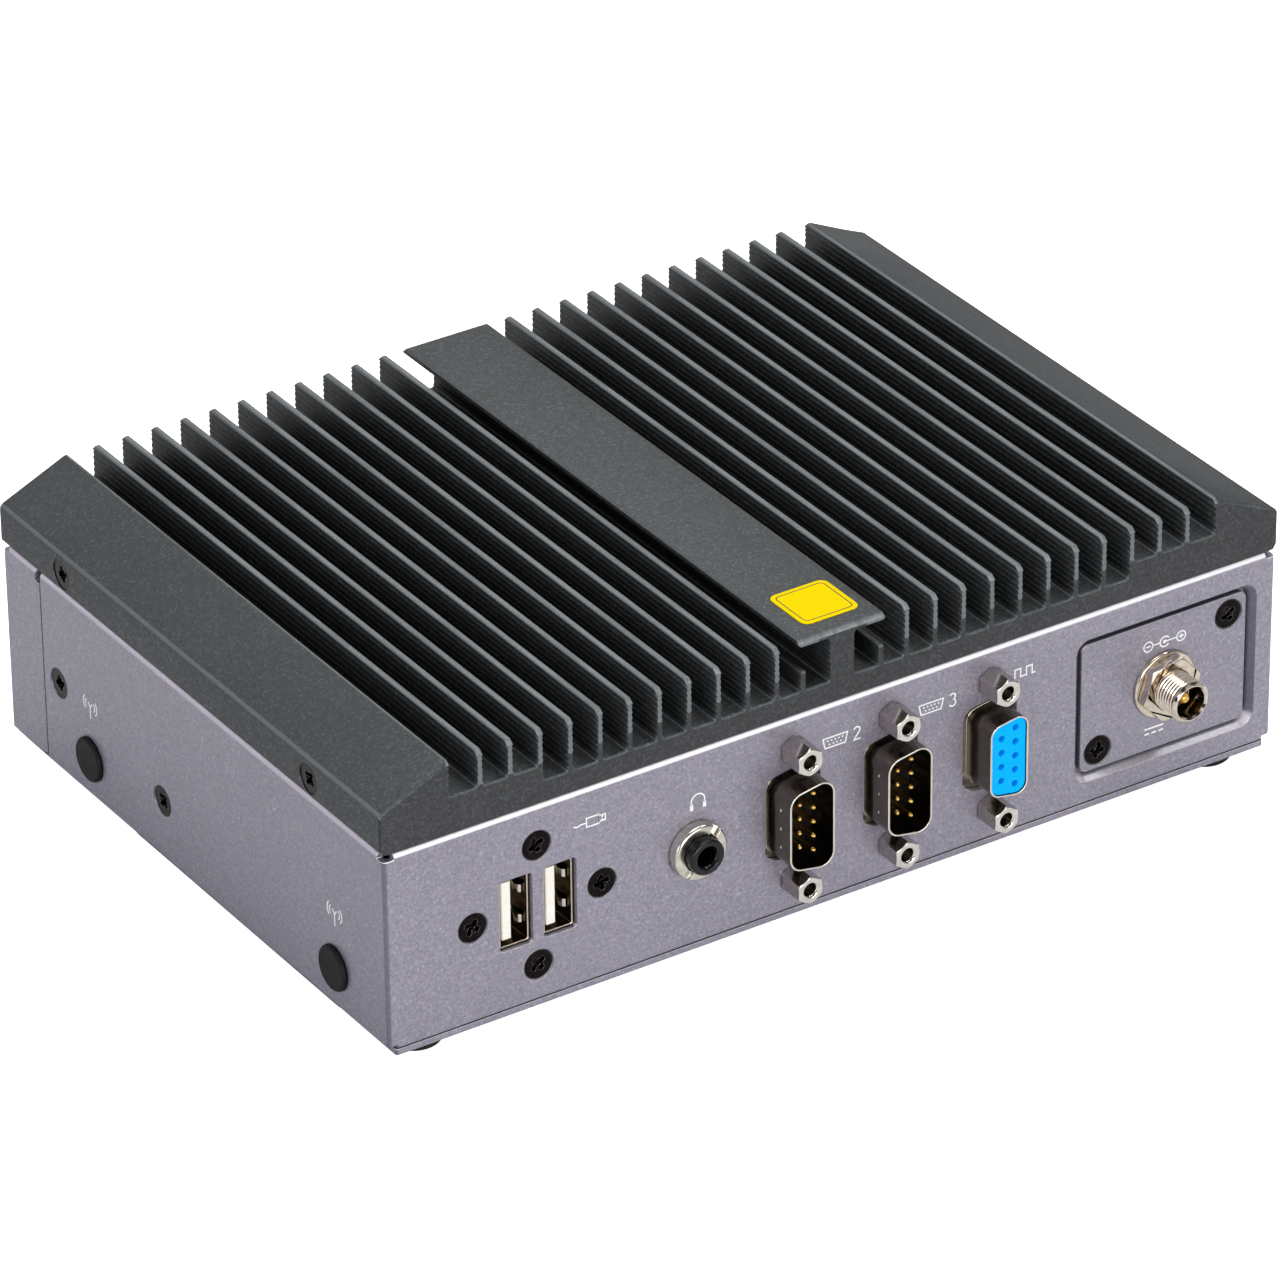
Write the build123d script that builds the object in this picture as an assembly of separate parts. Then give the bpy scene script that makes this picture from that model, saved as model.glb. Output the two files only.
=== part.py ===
from build123d import *
import math
import os

os.makedirs("parts", exist_ok=True)

# ---------------------------------------------------------------- frame
# Fanless embedded computer. Millimetres, +Z up. The origin is the centre of
# the four-hole mounting pattern on the underside of the bottom plate.
# The main I/O face looks along -Y, the second I/O face along +Y.

# ---------------------------------------------------------------- driving dimensions
WIDTH = 180.8            # chassis, along X
DEPTH = 125.8            # chassis, along Y
SHEET = 1.2              # sheet metal thickness
PLATE_T = 1.2            # bottom plate thickness
SEAT_Z = 38.9            # top of the chassis flanges, where the heatsink sits
TOP_Z = 52.6             # fin tops
SHOULDER_Z = 46.5        # where the sloped side of the heatsink starts
HS_WIDTH = 181.5         # heatsink, along X
HS_FRONT_SET = 0.3       # heatsink end faces sit this far behind the panels
SLOPE_W = 12.8           # width of the sloped side
BLOCK_IN = 77.2          # inner face of the side blocks, from the centre
FIN_T = 1.15
FIN_PITCH = 5.825
FIN_FIRST = 13.1         # innermost tall fin centre, from the centre
FIN_COUNT = 11           # tall fins on each side of the centre rail
FLOOR_DEEP = 42.9
FLOOR_SHALLOW = 45.85
RAIL_W = 17.3            # top plate of the centre rail
RAIL_T = 1.35
STEM_W = 5.1
STUB_X = 7.85            # short fins under the rail
STUB_TOP = 46.65
BEND_R = 1.2             # outer radius of the horizontal bends
CORNER_R = 1.0           # outer radius of the vertical bends
SEAM_Y = 50.25           # joint between the chassis wrap and the rear panel
FOOT_H = 2.8
FOOT_R = 5.0
FOOT_X, FOOT_Y = 81.2, 55.4
MOUNT_PITCH = 75.0       # mounting pattern in the bottom plate
MOUNT_R = 2.2            # clearance for M4
HEAD_R = 2.75            # M3 flat head
SHANK_R = 1.45
HEAD_H = 1.3
SINK = 0.45              # depth of the straight part of a countersunk hole; heads sit 0.25 below the surface
USB_X = (-65.2, -56.55)  # two upright sockets
USB_Z = 19.5
USB_W, USB_H = 5.9, 13.1
USB_SCREWS = ((-60.95, 31.05), (-73.6, 19.45), (-48.3, 19.45), (-60.95, 7.95))
AUDIO_X, AUDIO_Z = -29.9, 20.0
SERIAL_A_X, SERIAL_B_X, DIGITAL_X = -10.2, 9.7, 30.2
PORT_Z = 20.0
JACK_PITCH = 24.99       # jackscrew spacing of a nine-way connector
INLET = (67.35, 19.55)   # centre of the power inlet plate, X and Z
INLET_W, INLET_H, INLET_T = 35.0, 25.4, 1.1
RECESS_D = 1.9           # depth of the drawn recess around the inlet plate
DC_X, DC_Z = 67.4, 19.3
INLET_SCREWS = ((81.1, 28.6), (53.65, 10.45))
SIDE_SCREWS = ((45.2, 19.2), (10.3, 13.0))      # Y, Z on each side wall
COVER_SCREWS = ((41.7, 42.6), (-39.9, 42.6))    # Y, Z on each heatsink side
PLUGS = ((34.8, 9.2), (-46.0, 9.2))             # Y, Z on the left wall
BOARD_Z = 32.4           # underside of the mainboard
BOARD_T = 1.6
CEIL_Z = 40.4            # underside of the heatsink base
BUTTON_X, BUTTON_Z, BUTTON_TRAVEL = 72.0, 22.0, 1.2

FY = -62.5               # front face; the mounting pattern sits 0.4 mm off centre in depth
RY = FY + DEPTH
HX = WIDTH / 2


# ---------------------------------------------------------------- helpers
def box(x0, x1, y0, y1, z0, z1):
    return Pos((x0 + x1) / 2, (y0 + y1) / 2, (z0 + z1) / 2) * Box(x1 - x0, y1 - y0, z1 - z0)


def front(x, z, y=FY):
    """Plane on the front face, X right, Z up, normal outward."""
    return Plane(origin=(x, y, z), x_dir=(1, 0, 0), z_dir=(0, -1, 0))


def rear(x, z, y=RY):
    return Plane(origin=(x, y, z), x_dir=(-1, 0, 0), z_dir=(0, 1, 0))


def side(sx, y, z, x=HX):
    """Plane on a side wall; sx is -1 for the left wall and +1 for the right."""
    return Plane(origin=(sx * x, y, z), x_dir=(0, -sx * -1.0, 0), z_dir=(sx, 0, 0))


def below(x, y, z=0.0):
    return Plane(origin=(x, y, z), x_dir=(1, 0, 0), z_dir=(0, 0, -1))


def above(x, y, z):
    return Plane(origin=(x, y, z), x_dir=(1, 0, 0), z_dir=(0, 0, 1))


def rod(pl, r, z0, z1):
    """Cylinder along the plane's normal from height z0 to z1."""
    return pl.location * (Pos(0, 0, (z0 + z1) / 2) * Cylinder(r, z1 - z0))


def taper(pl, r0, r1, z0, z1):
    return pl.location * (Pos(0, 0, (z0 + z1) / 2) * Cone(r0, r1, z1 - z0))


def slab(pl, w, h, z0, z1, r=0.0):
    """Plate w by h centred on the plane, from height z0 to z1."""
    sk = RectangleRounded(w, h, r) if r else Rectangle(w, h)
    return pl.location * (Pos(0, 0, z0) * extrude(sk, amount=z1 - z0))


def hexa(pl, flats, z0, z1, turn=0.0):
    sk = Rot(0, 0, turn) * RegularPolygon(flats / math.sqrt(3), 6)
    return pl.location * (Pos(0, 0, z0) * extrude(sk, amount=z1 - z0))


def union(items):
    out = items[0]
    for it in items[1:]:
        out = out + it
    return out


def solids_of(shape):
    if isinstance(shape, (list, tuple)):
        out = []
        for s in shape:
            out += solids_of(s)
        return out
    return list(shape.solids())


def save(name, shape):
    ss = solids_of(shape)
    export_step(ss[0] if len(ss) == 1 else Compound(children=ss), f"parts/{name}.step")


def cross_cut(pl, arm=1.5, wide=0.84, deep=1.15, turn=20.0):
    a = pl.location * (Rot(0, 0, turn) * Pos(0, 0, -deep / 2 + 0.05) * Box(2 * arm, wide, deep + 0.1))
    b = pl.location * (Rot(0, 0, turn) * Pos(0, 0, -deep / 2 + 0.05) * Box(wide, 2 * arm, deep + 0.1))
    c = taper(pl, 0.35, 1.15, -1.1, 0.05)
    return a + b + c


def flat_screw(pl, length, turn=20.0):
    """M3 flat-head screw with a cross recess; its head sits a little below the plane."""
    body = rod(pl, HEAD_R, -SINK, -SINK + 0.2) + taper(pl, SHANK_R, HEAD_R, -HEAD_H - SINK, -SINK) + rod(pl, SHANK_R, -length, -HEAD_H - SINK)
    return body - cross_cut(Plane(origin=pl.origin - pl.z_dir * (SINK - 0.22), x_dir=pl.x_dir, z_dir=pl.z_dir), turn=turn)


def flat_hole(pl, depth, gap=0.05):
    """Countersunk clearance hole for flat_screw."""
    return rod(pl, HEAD_R + gap, -SINK, 0.5) + taper(pl, HEAD_R + gap, HEAD_R + gap + 0.14, -0.14, 0.0) + taper(pl, SHANK_R + gap, HEAD_R + gap, -HEAD_H - SINK, -SINK) + rod(pl, SHANK_R + gap, -depth, -HEAD_H - SINK)


def pan_screw(pl, head_r, head_h, shank_r, length):
    """Pan-head screw seated on the plane."""
    head = rod(pl, head_r, 0, head_h)
    head = fillet(head.edges().filter_by(GeomType.CIRCLE).sort_by(Axis((0, 0, 0), pl.z_dir))[-1], head_h * 0.45)
    return head + rod(pl, shank_r, -length, 0) - cross_cut(Plane(origin=pl.origin + pl.z_dir * head_h, x_dir=pl.x_dir, z_dir=pl.z_dir), arm=head_r * 0.5, wide=0.5, deep=head_h * 0.6)


def lower_bend(sx, y0, y1, r=1.3):
    """What a bend of radius r takes off the lower edge of a side wall."""
    pts = [(sx * (HX - r + r * math.sin(math.radians(a))), PLATE_T + r - r * math.cos(math.radians(a))) for a in range(0, 91, 15)]
    pts = [(sx * (HX + 0.2), PLATE_T - 0.2), (sx * (HX - r), PLATE_T - 0.2)] + pts + [(sx * (HX + 0.2), PLATE_T + r)]
    pl = Plane(origin=(0, y0, 0), x_dir=(1, 0, 0), z_dir=(0, -1, 0))
    return extrude(pl * make_face(Polyline(*pts, close=True)), amount=-(y1 - y0))


# ---------------------------------------------------------------- heatsink cover
hs_y0, hs_y1 = FY + HS_FRONT_SET, RY - HS_FRONT_SET
hw = HS_WIDTH / 2
half = [(hw, 39.75), (hw, SHOULDER_Z), (hw - SLOPE_W, TOP_Z), (BLOCK_IN, TOP_Z)]
fins = [FIN_FIRST + FIN_PITCH * k for k in range(FIN_COUNT)]
half.append((BLOCK_IN, FLOOR_SHALLOW))
for k in range(FIN_COUNT - 1, -1, -1):
    f_out = FLOOR_SHALLOW if k >= FIN_COUNT - 3 else FLOOR_DEEP
    f_in = FLOOR_SHALLOW if k >= FIN_COUNT - 2 else FLOOR_DEEP
    half += [(fins[k] + FIN_T / 2, f_out), (fins[k] + FIN_T / 2, TOP_Z), (fins[k] - FIN_T / 2, TOP_Z), (fins[k] - FIN_T / 2, f_in)]
half += [(STUB_X + 0.6, FLOOR_DEEP), (STUB_X + 0.6, STUB_TOP), (STUB_X - 0.6, STUB_TOP), (STUB_X - 0.6, FLOOR_DEEP),
         (STEM_W / 2, FLOOR_DEEP), (STEM_W / 2, TOP_Z - RAIL_T), (RAIL_W / 2 - 0.35, TOP_Z - RAIL_T), (RAIL_W / 2, TOP_Z - RAIL_T + 0.35), (RAIL_W / 2, TOP_Z)]
outline = [(hw - 0.85, SEAT_Z)] + half + [(-x, z) for x, z in reversed(half)] + [(-hw + 0.85, SEAT_Z)]
profile = Plane(origin=(0, hs_y0, 0), x_dir=(1, 0, 0), z_dir=(0, -1, 0)) * make_face(Polyline(*outline, close=True))
heatsink = extrude(profile, amount=-(hs_y1 - hs_y0))
# rounded shoulders along the full length
sh = [e for e in heatsink.edges().filter_by(Axis.Y) if abs(abs(e.center().X) - hw) < 0.01 and abs(e.center().Z - SHOULDER_Z) < 0.01]
heatsink = fillet(sh, 1.3)
# small chamfers on the sawn ends: fin tips, sloped sides and vertical corners
for sy, yy in ((1, hs_y0), (-1, hs_y1)):
    tri = Plane.YZ.offset(-HX - 5) * make_face(Polyline((yy - sy * 0.1, TOP_Z - 0.8), (yy - sy * 0.1, TOP_Z + 0.1), (yy + sy * 0.8, TOP_Z + 0.1), close=True))
    heatsink = heatsink - extrude(tri, amount=WIDTH + 10)
    for sx in (-1, 1):
        tri = Plane.XY.offset(SEAT_Z - 1) * make_face(Polyline((sx * (hw + 0.1), yy - sy * 0.1), (sx * (hw - 0.3), yy - sy * 0.1), (sx * (hw + 0.1), yy + sy * 0.3), close=True))
        heatsink = heatsink - extrude(tri, amount=TOP_Z - SEAT_Z + 2)
# machined pockets under the base, and a pad for the heat block
heatsink = heatsink - box(-86.55, 86.55, -58.0, 58.0, SEAT_Z - 1, CEIL_Z)
for sx in (-1, 1):
    heatsink = heatsink - box(min(sx * 63, sx * 86.55), max(sx * 63, sx * 86.55), -58.0, 58.0, CEIL_Z - 0.5, 43.3)
    for y, z in COVER_SCREWS:
        heatsink = heatsink - flat_hole(side(sx, y, z, hw), 9.0)
BLOCK_SCREWS = [(x, 5 + y) for x in (-20, 20) for y in (-20, 20)]
BOARD_SCREWS = [(x, y) for x in (-68, 68) for y in (-36, 52)]
for x, y in BLOCK_SCREWS:
    heatsink = heatsink - rod(above(x, y, CEIL_Z), 1.3, -0.5, 1.8)
for x, y in BOARD_SCREWS:
    heatsink = heatsink - rod(above(x, y, 43.3), 1.3, -0.5, 1.8)
save("heatsink_cover", heatsink)

cover_screws = [flat_screw(side(sx, y, z, hw), 7.5, 20 + 35 * i) for sx in (-1, 1) for i, (y, z) in enumerate(COVER_SCREWS)]
save("cover_side_screws", cover_screws)

# ---------------------------------------------------------------- chassis wrap: front and both sides
wrap = box(-HX, HX, FY, SEAM_Y, PLATE_T, SEAT_Z)
edges = [e for e in wrap.edges().filter_by(Axis.Z) if e.center().Y < FY + 1]
wrap = fillet(edges, CORNER_R)
top = [e for e in wrap.edges() if abs(e.center().Z - SEAT_Z) < 0.01 and e.center().Y < SEAM_Y - 0.5]
wrap = fillet(top, BEND_R)
inner = box(-HX + SHEET, HX - SHEET, FY + SHEET, SEAM_Y + 1, PLATE_T + SHEET, SEAT_Z - SHEET)
inner_v = [e for e in inner.edges().filter_by(Axis.Z) if e.center().Y < FY + 2]
inner = fillet(inner_v, 0.3)
wrap = wrap - inner
wrap = wrap - box(-HX + 3.6, HX - 3.6, FY + 4.4, SEAM_Y + 1, SEAT_Z - SHEET - 0.5, SEAT_Z + 1)      # top opening
wrap = wrap - box(-HX + 6.2, HX - 6.2, FY + 4.0, SEAM_Y + 1, PLATE_T - 0.5, PLATE_T + SHEET + 0.5)  # bottom opening
# drawn recess for the power inlet plate
rc = front(*INLET)
wrap = wrap + slab(rc, INLET_W + 5.4, INLET_H + 5.0, -RECESS_D - SHEET, -SHEET + 0.01, 3.0)
rec = loft([rc.location * Pos(0, 0, 0.02) * RectangleRounded(INLET_W + 3.3, INLET_H + 3.0, 2.9), rc.location * Pos(0, 0, -RECESS_D) * RectangleRounded(INLET_W + 0.7, INLET_H + 0.7, 1.7)])
wrap = wrap - rec
wrap = wrap - rod(front(DC_X, DC_Z), 7.2, -5, 1)
for x, z in INLET_SCREWS:
    wrap = wrap - rod(front(x, z), SHANK_R + 0.6, -5, 1)
# front cut-outs
for x in USB_X:
    wrap = wrap - slab(front(x, USB_Z), USB_W + 0.5, USB_H + 0.4, -3, 1, 0.6)
for x, z in USB_SCREWS:
    wrap = wrap - flat_hole(front(x, z), 3.0)
wrap = wrap - rod(front(AUDIO_X, AUDIO_Z), 3.5, -3, 1)


def dee(w, h, r):
    """Nine-way connector outline: the wide side is on +X."""
    q = h / 2 - w * math.tan(math.radians(10))
    f = make_face(Polyline((w / 2, h / 2), (-w / 2, q), (-w / 2, -q), (w / 2, -h / 2), close=True))
    return fillet(f.vertices(), r)


def dee_solid(pl, w, h, r, z0, z1):
    return pl.location * (Pos(0, 0, z0) * extrude(dee(w, h, r), amount=z1 - z0))


for x in (SERIAL_A_X, SERIAL_B_X, DIGITAL_X):
    wrap = wrap - dee_solid(front(x, PORT_Z), 11.0, 19.6, 2.6, -3, 1)
    for s in (-1, 1):
        wrap = wrap - rod(front(x, PORT_Z + s * JACK_PITCH / 2), 1.6, -3, 1)
# side wall holes and the tabs that take the cover screws
for sx in (-1, 1):
    for y, z in SIDE_SCREWS:
        wrap = wrap - flat_hole(side(sx, y, z), 3.0)
    for y, z in COVER_SCREWS:
        tab = box(min(sx * 85.2, sx * 86.4), max(sx * 85.2, sx * 86.4), y - 7, y + 7, SEAT_Z - SHEET, 42.9)
        foot_ = box(min(sx * 85.2, sx * (HX - 1.0)), max(sx * 85.2, sx * (HX - 1.0)), y - 7, y + 7, SEAT_Z - SHEET, SEAT_Z)
        wrap = wrap + foot_ + tab
    for y, z in COVER_SCREWS:
        wrap = wrap - rod(side(sx, y, z), SHANK_R + 0.05, -8, 2)
for y, z in PLUGS:
    wrap = wrap - rod(side(-1, y, z), 3.3, -3, 1)
# corner reliefs where the bends meet
for sx in (-1, 1):
    wrap = wrap - box(min(sx * (HX - 2.1), sx * 92), max(sx * (HX - 2.1), sx * 92), FY - 1, FY + 2.1, SEAT_Z - 1.25, SEAT_Z + 1)
    wrap = wrap - box(min(sx * (HX - 1.9), sx * 92), max(sx * (HX - 1.9), sx * 92), FY - 1, FY + 1.9, PLATE_T - 0.1, PLATE_T + 0.85)
BOTTOM_SCREWS = [(sx * 86.2, y) for sx in (-1, 1) for y in (-44.0, 22.0)]
REAR_BOTTOM_SCREWS = [(sx * 45.0, 58.2) for sx in (-1, 1)]
for sx in (-1, 1):
    wrap = wrap - lower_bend(sx, FY - 1, SEAM_Y + 1)
for x, y in BOTTOM_SCREWS:
    wrap = wrap - rod(below(x, y), SHANK_R + 0.05, -4, 1)
# rounded lower lip of the front wall, meeting the bottom plate in a shallow groove
lip = box(-HX - 1, HX + 1, FY - 1, FY + 0.6, PLATE_T - 1, PLATE_T + 0.6)
lip = lip - Pos(0, FY + 0.6, PLATE_T + 0.6) * Rot(0, 90, 0) * Cylinder(0.6, 4 * HX)
wrap = wrap - lip
save("chassis_shell", wrap)

# ---------------------------------------------------------------- rear panel with its two side flanges
back = box(-HX, HX, SEAM_Y + 0.2, RY, PLATE_T, SEAT_Z)
edges = [e for e in back.edges().filter_by(Axis.Z) if e.center().Y > RY - 1]
back = fillet(edges, CORNER_R)
top = [e for e in back.edges() if abs(e.center().Z - SEAT_Z) < 0.01 and e.center().Y > SEAM_Y + 0.5]
back = fillet(top, BEND_R)
inner = box(-HX + SHEET, HX - SHEET, SEAM_Y - 1, RY - SHEET, PLATE_T + SHEET, SEAT_Z - SHEET)
inner_v = [e for e in inner.edges().filter_by(Axis.Z) if e.center().Y > RY - 2]
inner = fillet(inner_v, 0.3)
back = back - inner
back = back - box(-HX + 3.6, HX - 3.6, SEAM_Y - 1, RY - 4.4, SEAT_Z - SHEET - 0.5, SEAT_Z + 1)
back = back - box(-HX + 6.2, HX - 6.2, SEAM_Y - 1, RY - 6.8, PLATE_T - 0.5, PLATE_T + SHEET + 0.5)
for sx in (-1, 1):
    # joggled tabs behind the chassis wall, held by the rear side screws
    back = back + box(min(sx * (HX - 2.6), sx * (HX - 1.35)), max(sx * (HX - 2.6), sx * (HX - 1.35)), 39.5, 53.0, 11.0, 28.0) + box(min(sx * (HX - 2.6), sx * (HX - 1.0)), max(sx * (HX - 2.6), sx * (HX - 1.0)), SEAM_Y + 0.6, 53.0, 11.0, 28.0)
    back = back - rod(side(sx, *SIDE_SCREWS[0]), SHANK_R + 0.05, -8, 1) - taper(side(sx, *SIDE_SCREWS[0]), SHANK_R + 0.05, HEAD_R + 0.05, -HEAD_H - SINK, -SINK)
    back = back - box(min(sx * (HX - 2.1), sx * 92), max(sx * (HX - 2.1), sx * 92), RY - 2.1, RY + 1, SEAT_Z - 1.25, SEAT_Z + 1)
    back = back - box(min(sx * (HX - 1.9), sx * 92), max(sx * (HX - 1.9), sx * 92), RY - 1.9, RY + 1, PLATE_T - 0.1, PLATE_T + 0.85)
    # relief notches at the seam
    back = back - box(min(sx * (HX - 1.6), sx * 92), max(sx * (HX - 1.6), sx * 92), SEAM_Y - 1, SEAM_Y + 1.6, SEAT_Z - 2.4, SEAT_Z + 1)
    back = back - box(min(sx * (HX - 1.6), sx * 92), max(sx * (HX - 1.6), sx * 92), SEAM_Y - 1, SEAM_Y + 1.4, PLATE_T - 0.5, PLATE_T + 1.3)
for sx in (-1, 1):
    back = back - lower_bend(sx, SEAM_Y - 1, RY + 1)
for x, y in REAR_BOTTOM_SCREWS:
    back = back - rod(below(x, y), SHANK_R + 0.05, -4, 1)
for sx in (-1, 1):
    back = back - rod(below(sx * FOOT_X, FOOT_Y), 1.9, -4, 1)
# rear port cut-outs
RUSB_X, RUSB_Z = -22.0, 24.6
NET_X, NET_Z = 30.0, 25.6
VID_X, VID_Z = 2.0, 29.2
RSER_X, RSER_Z = -57.0, 19.0
back = back - slab(rear(RUSB_X, RUSB_Z), 14.9, 16.3, -3, 1, 0.4)
back = back - slab(rear(NET_X, NET_Z), 32.8, 14.2, -3, 1, 0.4)
back = back - slab(rear(VID_X, VID_Z), 15.9, 6.6, -3, 1, 0.8)
rser = Plane(origin=(RSER_X, RY, RSER_Z), x_dir=(0, 0, 1), z_dir=(0, 1, 0))
back = back - dee_solid(rser, 11.0, 19.6, 2.6, -3, 1)
for s in (-1, 1):
    back = back - rod(rear(RSER_X + s * JACK_PITCH / 2, RSER_Z), 1.6, -3, 1)
back = back - rod(rear(BUTTON_X, BUTTON_Z), 6.05, -3, 1)
save("rear_panel", back)

# ---------------------------------------------------------------- bottom plate
bottom = box(-HX + 1.5, HX - 1.5, FY + 0.05, RY - 1.6, 0, PLATE_T)
bottom = fillet(bottom.edges().filter_by(Axis.Z), 0.6)
for sx in (-1, 1):
    y, z = SIDE_SCREWS[1]
    bottom = bottom + box(min(sx * 82.0, sx * 83.2), max(sx * 82.0, sx * 83.2), y - 8, y + 8, PLATE_T - 0.01, z + 6) + box(min(sx * 82.0, sx * (HX - 1.35)), max(sx * 82.0, sx * (HX - 1.35)), y - 8, y + 8, z + 4.8, z + 6)
    bottom = bottom + box(min(sx * (HX - 2.55), sx * (HX - 1.35)), max(sx * (HX - 2.55), sx * (HX - 1.35)), y - 8, y + 8, z - 6, z + 6)
    bottom = bottom - rod(side(sx, y, z), SHANK_R + 0.05, -6.5, 1) - taper(side(sx, y, z), SHANK_R + 0.05, HEAD_R + 0.05, -HEAD_H - SINK, -SINK)
for sx in (-1, 1):
    for sy in (-1, 1):
        bottom = bottom - rod(below(sx * FOOT_X, sy * FOOT_Y), SHANK_R + 0.05, -4, 1)
        bottom = bottom - rod(below(sx * MOUNT_PITCH / 2, sy * MOUNT_PITCH / 2), MOUNT_R, -4, 1)
for x, y in BOTTOM_SCREWS + REAR_BOTTOM_SCREWS:
    bottom = bottom - taper(below(x, y), SHANK_R + 0.05, 2.6, -1.1, 0.0) - rod(below(x, y), SHANK_R + 0.05, -4, -1.05)
save("bottom_plate", bottom)

bscrews = []
for x, y in BOTTOM_SCREWS + REAR_BOTTOM_SCREWS:
    pl = below(x, y)
    s = taper(pl, SHANK_R, 2.5, -1.05, -0.02) + rod(pl, SHANK_R, -4.2, -1.05)
    s = s - pl.location * (Pos(0, 0, -0.3) * Box(2.6, 0.55, 0.7)) - pl.location * (Pos(0, 0, -0.3) * Box(0.55, 2.6, 0.7))
    bscrews.append(s)
save("bottom_plate_screws", bscrews)

# ---------------------------------------------------------------- feet
feet, fscrews = [], []
for sx in (-1, 1):
    for sy in (-1, 1):
        pl = below(sx * FOOT_X, sy * FOOT_Y)
        f = rod(pl, FOOT_R, 0, FOOT_H)
        low = f.edges().filter_by(GeomType.CIRCLE).sort_by(Axis.Z)[0]
        f = fillet(low, 1.0)
        f = f - rod(pl, 2.95, 1.0, FOOT_H + 1) - rod(pl, SHANK_R + 0.05, -1, FOOT_H)
        feet.append(f)
        fscrews.append(pan_screw(Plane(origin=pl.origin + pl.z_dir * 1.0, x_dir=pl.x_dir, z_dir=pl.z_dir), 2.8, 1.3, SHANK_R, 4.4))
save("rubber_feet", feet)
save("foot_screws", fscrews)

# ---------------------------------------------------------------- side screws and antenna hole plugs
save("chassis_side_screws", [flat_screw(side(sx, y, z), 6.0, 15 + 40 * i) for sx in (-1, 1) for i, (y, z) in enumerate(SIDE_SCREWS)])
plugs = []
for y, z in PLUGS:
    pl = side(-1, y, z)
    p = rod(pl, 4.15, 0, 0.95)
    p = fillet(p.edges().filter_by(GeomType.CIRCLE).sort_by(Axis.X)[0], 0.55)
    p = p + rod(pl, 3.25, -1.25, 0) + (rod(pl, 3.7, -2.4, -1.25) & pl.location * (Pos(0, 0, -1.8) * Box(3.2, 8, 3)))
    plugs.append(p)
save("antenna_hole_plugs", plugs)

# ---------------------------------------------------------------- front USB module
for name, x in (("usb_left", USB_X[0]), ("usb_right", USB_X[1])):
    pl = front(x, USB_Z)
    shell = slab(pl, USB_W, USB_H, -13.5, -0.8, 0.5) - slab(pl, USB_W - 0.7, USB_H - 0.7, -13.0, 1.0, 0.3)
    # spring windows in the two wide walls
    for s in (-1, 1):
        for v in (-2.9, 2.9):
            shell = shell - pl.location * (Pos(s * USB_W / 2, v, -4.6) * Box(1.2, 1.7, 5.2))
    save(name + "_shell", shell)
    tongue = pl.location * (Pos(-1.0, 0, -7.15) * Box(1.9, 11.1, 11.4))
    tongue = fillet(tongue.edges().filter_by(Axis.Z).sort_by(Axis.Y)[:2], 0.3)
    tongue = tongue + slab(pl, USB_W - 0.8, USB_H - 0.8, -12.9, -11.2, 0.2)
    save(name + "_tongue", tongue)
ub = front(-60.95, USB_Z)
bracket = slab(ub, 32.0, 30.0, -2.4, -1.2, 2.0) - slab(ub, 16.2, 14.6, -4, 0)
for s in (-1, 1):
    bracket = bracket + ub.location * (Pos(s * 15.4, 0, -7.45) * Box(1.2, 20, 12.3)) + ub.location * (Pos(s * 13.0, 0, -13.0) * Box(6.0, 20, 1.2))
for x, z in USB_SCREWS:
    bracket = bracket - rod(front(x, z), SHANK_R + 0.05, -8, 0) - taper(front(x, z), SHANK_R + 0.05, HEAD_R + 0.05, -HEAD_H - SINK, -SINK)
    bracket = bracket - rod(front(x, z), 2.0, -8, -2.4)
save("usb_mount_bracket", bracket)
save("usb_board", slab(ub, 31.0, 24.0, -15.2, -13.6, 1.0))
save("usb_bracket_screws", [flat_screw(front(x, z), 4.6, a) for (x, z), a in zip(USB_SCREWS, (25, 60, 10, 40))])

# ---------------------------------------------------------------- audio socket
pl = front(AUDIO_X, AUDIO_Z)
nose = rod(pl, 3.35, -1.4, 4.2)
nose = fillet(nose.edges().filter_by(GeomType.CIRCLE).sort_by(Axis.Y)[0], 0.5)
jack = nose + slab(pl, 9.0, 11.0, -13.0, -1.25, 0.6) - rod(pl, 1.8, -12.0, 5) - taper(pl, 1.75, 2.35, 3.5, 4.25)
save("audio_jack_body", jack)
nut = rod(pl, 5.2, 0.02, 2.25) - rod(pl, 3.42, -1, 5)
nut = chamfer(nut.edges().filter_by(GeomType.CIRCLE).sort_by(Axis.Y)[0:1], 0.35)
for a in (52, 232):
    nut = nut - pl.location * (Rot(0, 0, a) * Pos(4.6, 0, 2.0) * Box(2.2, 1.7, 1.5))
save("audio_jack_nut", nut)

# ---------------------------------------------------------------- nine-way ports
PITCH_V, ROW = 2.77, 1.42
WIDE = [(ROW, PITCH_V * k) for k in (-2, -1, 0, 1, 2)]
NARROW = [(-ROW, PITCH_V * k) for k in (-1.5, -0.5, 0.5, 1.5)]
PINS = WIDE + NARROW


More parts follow.
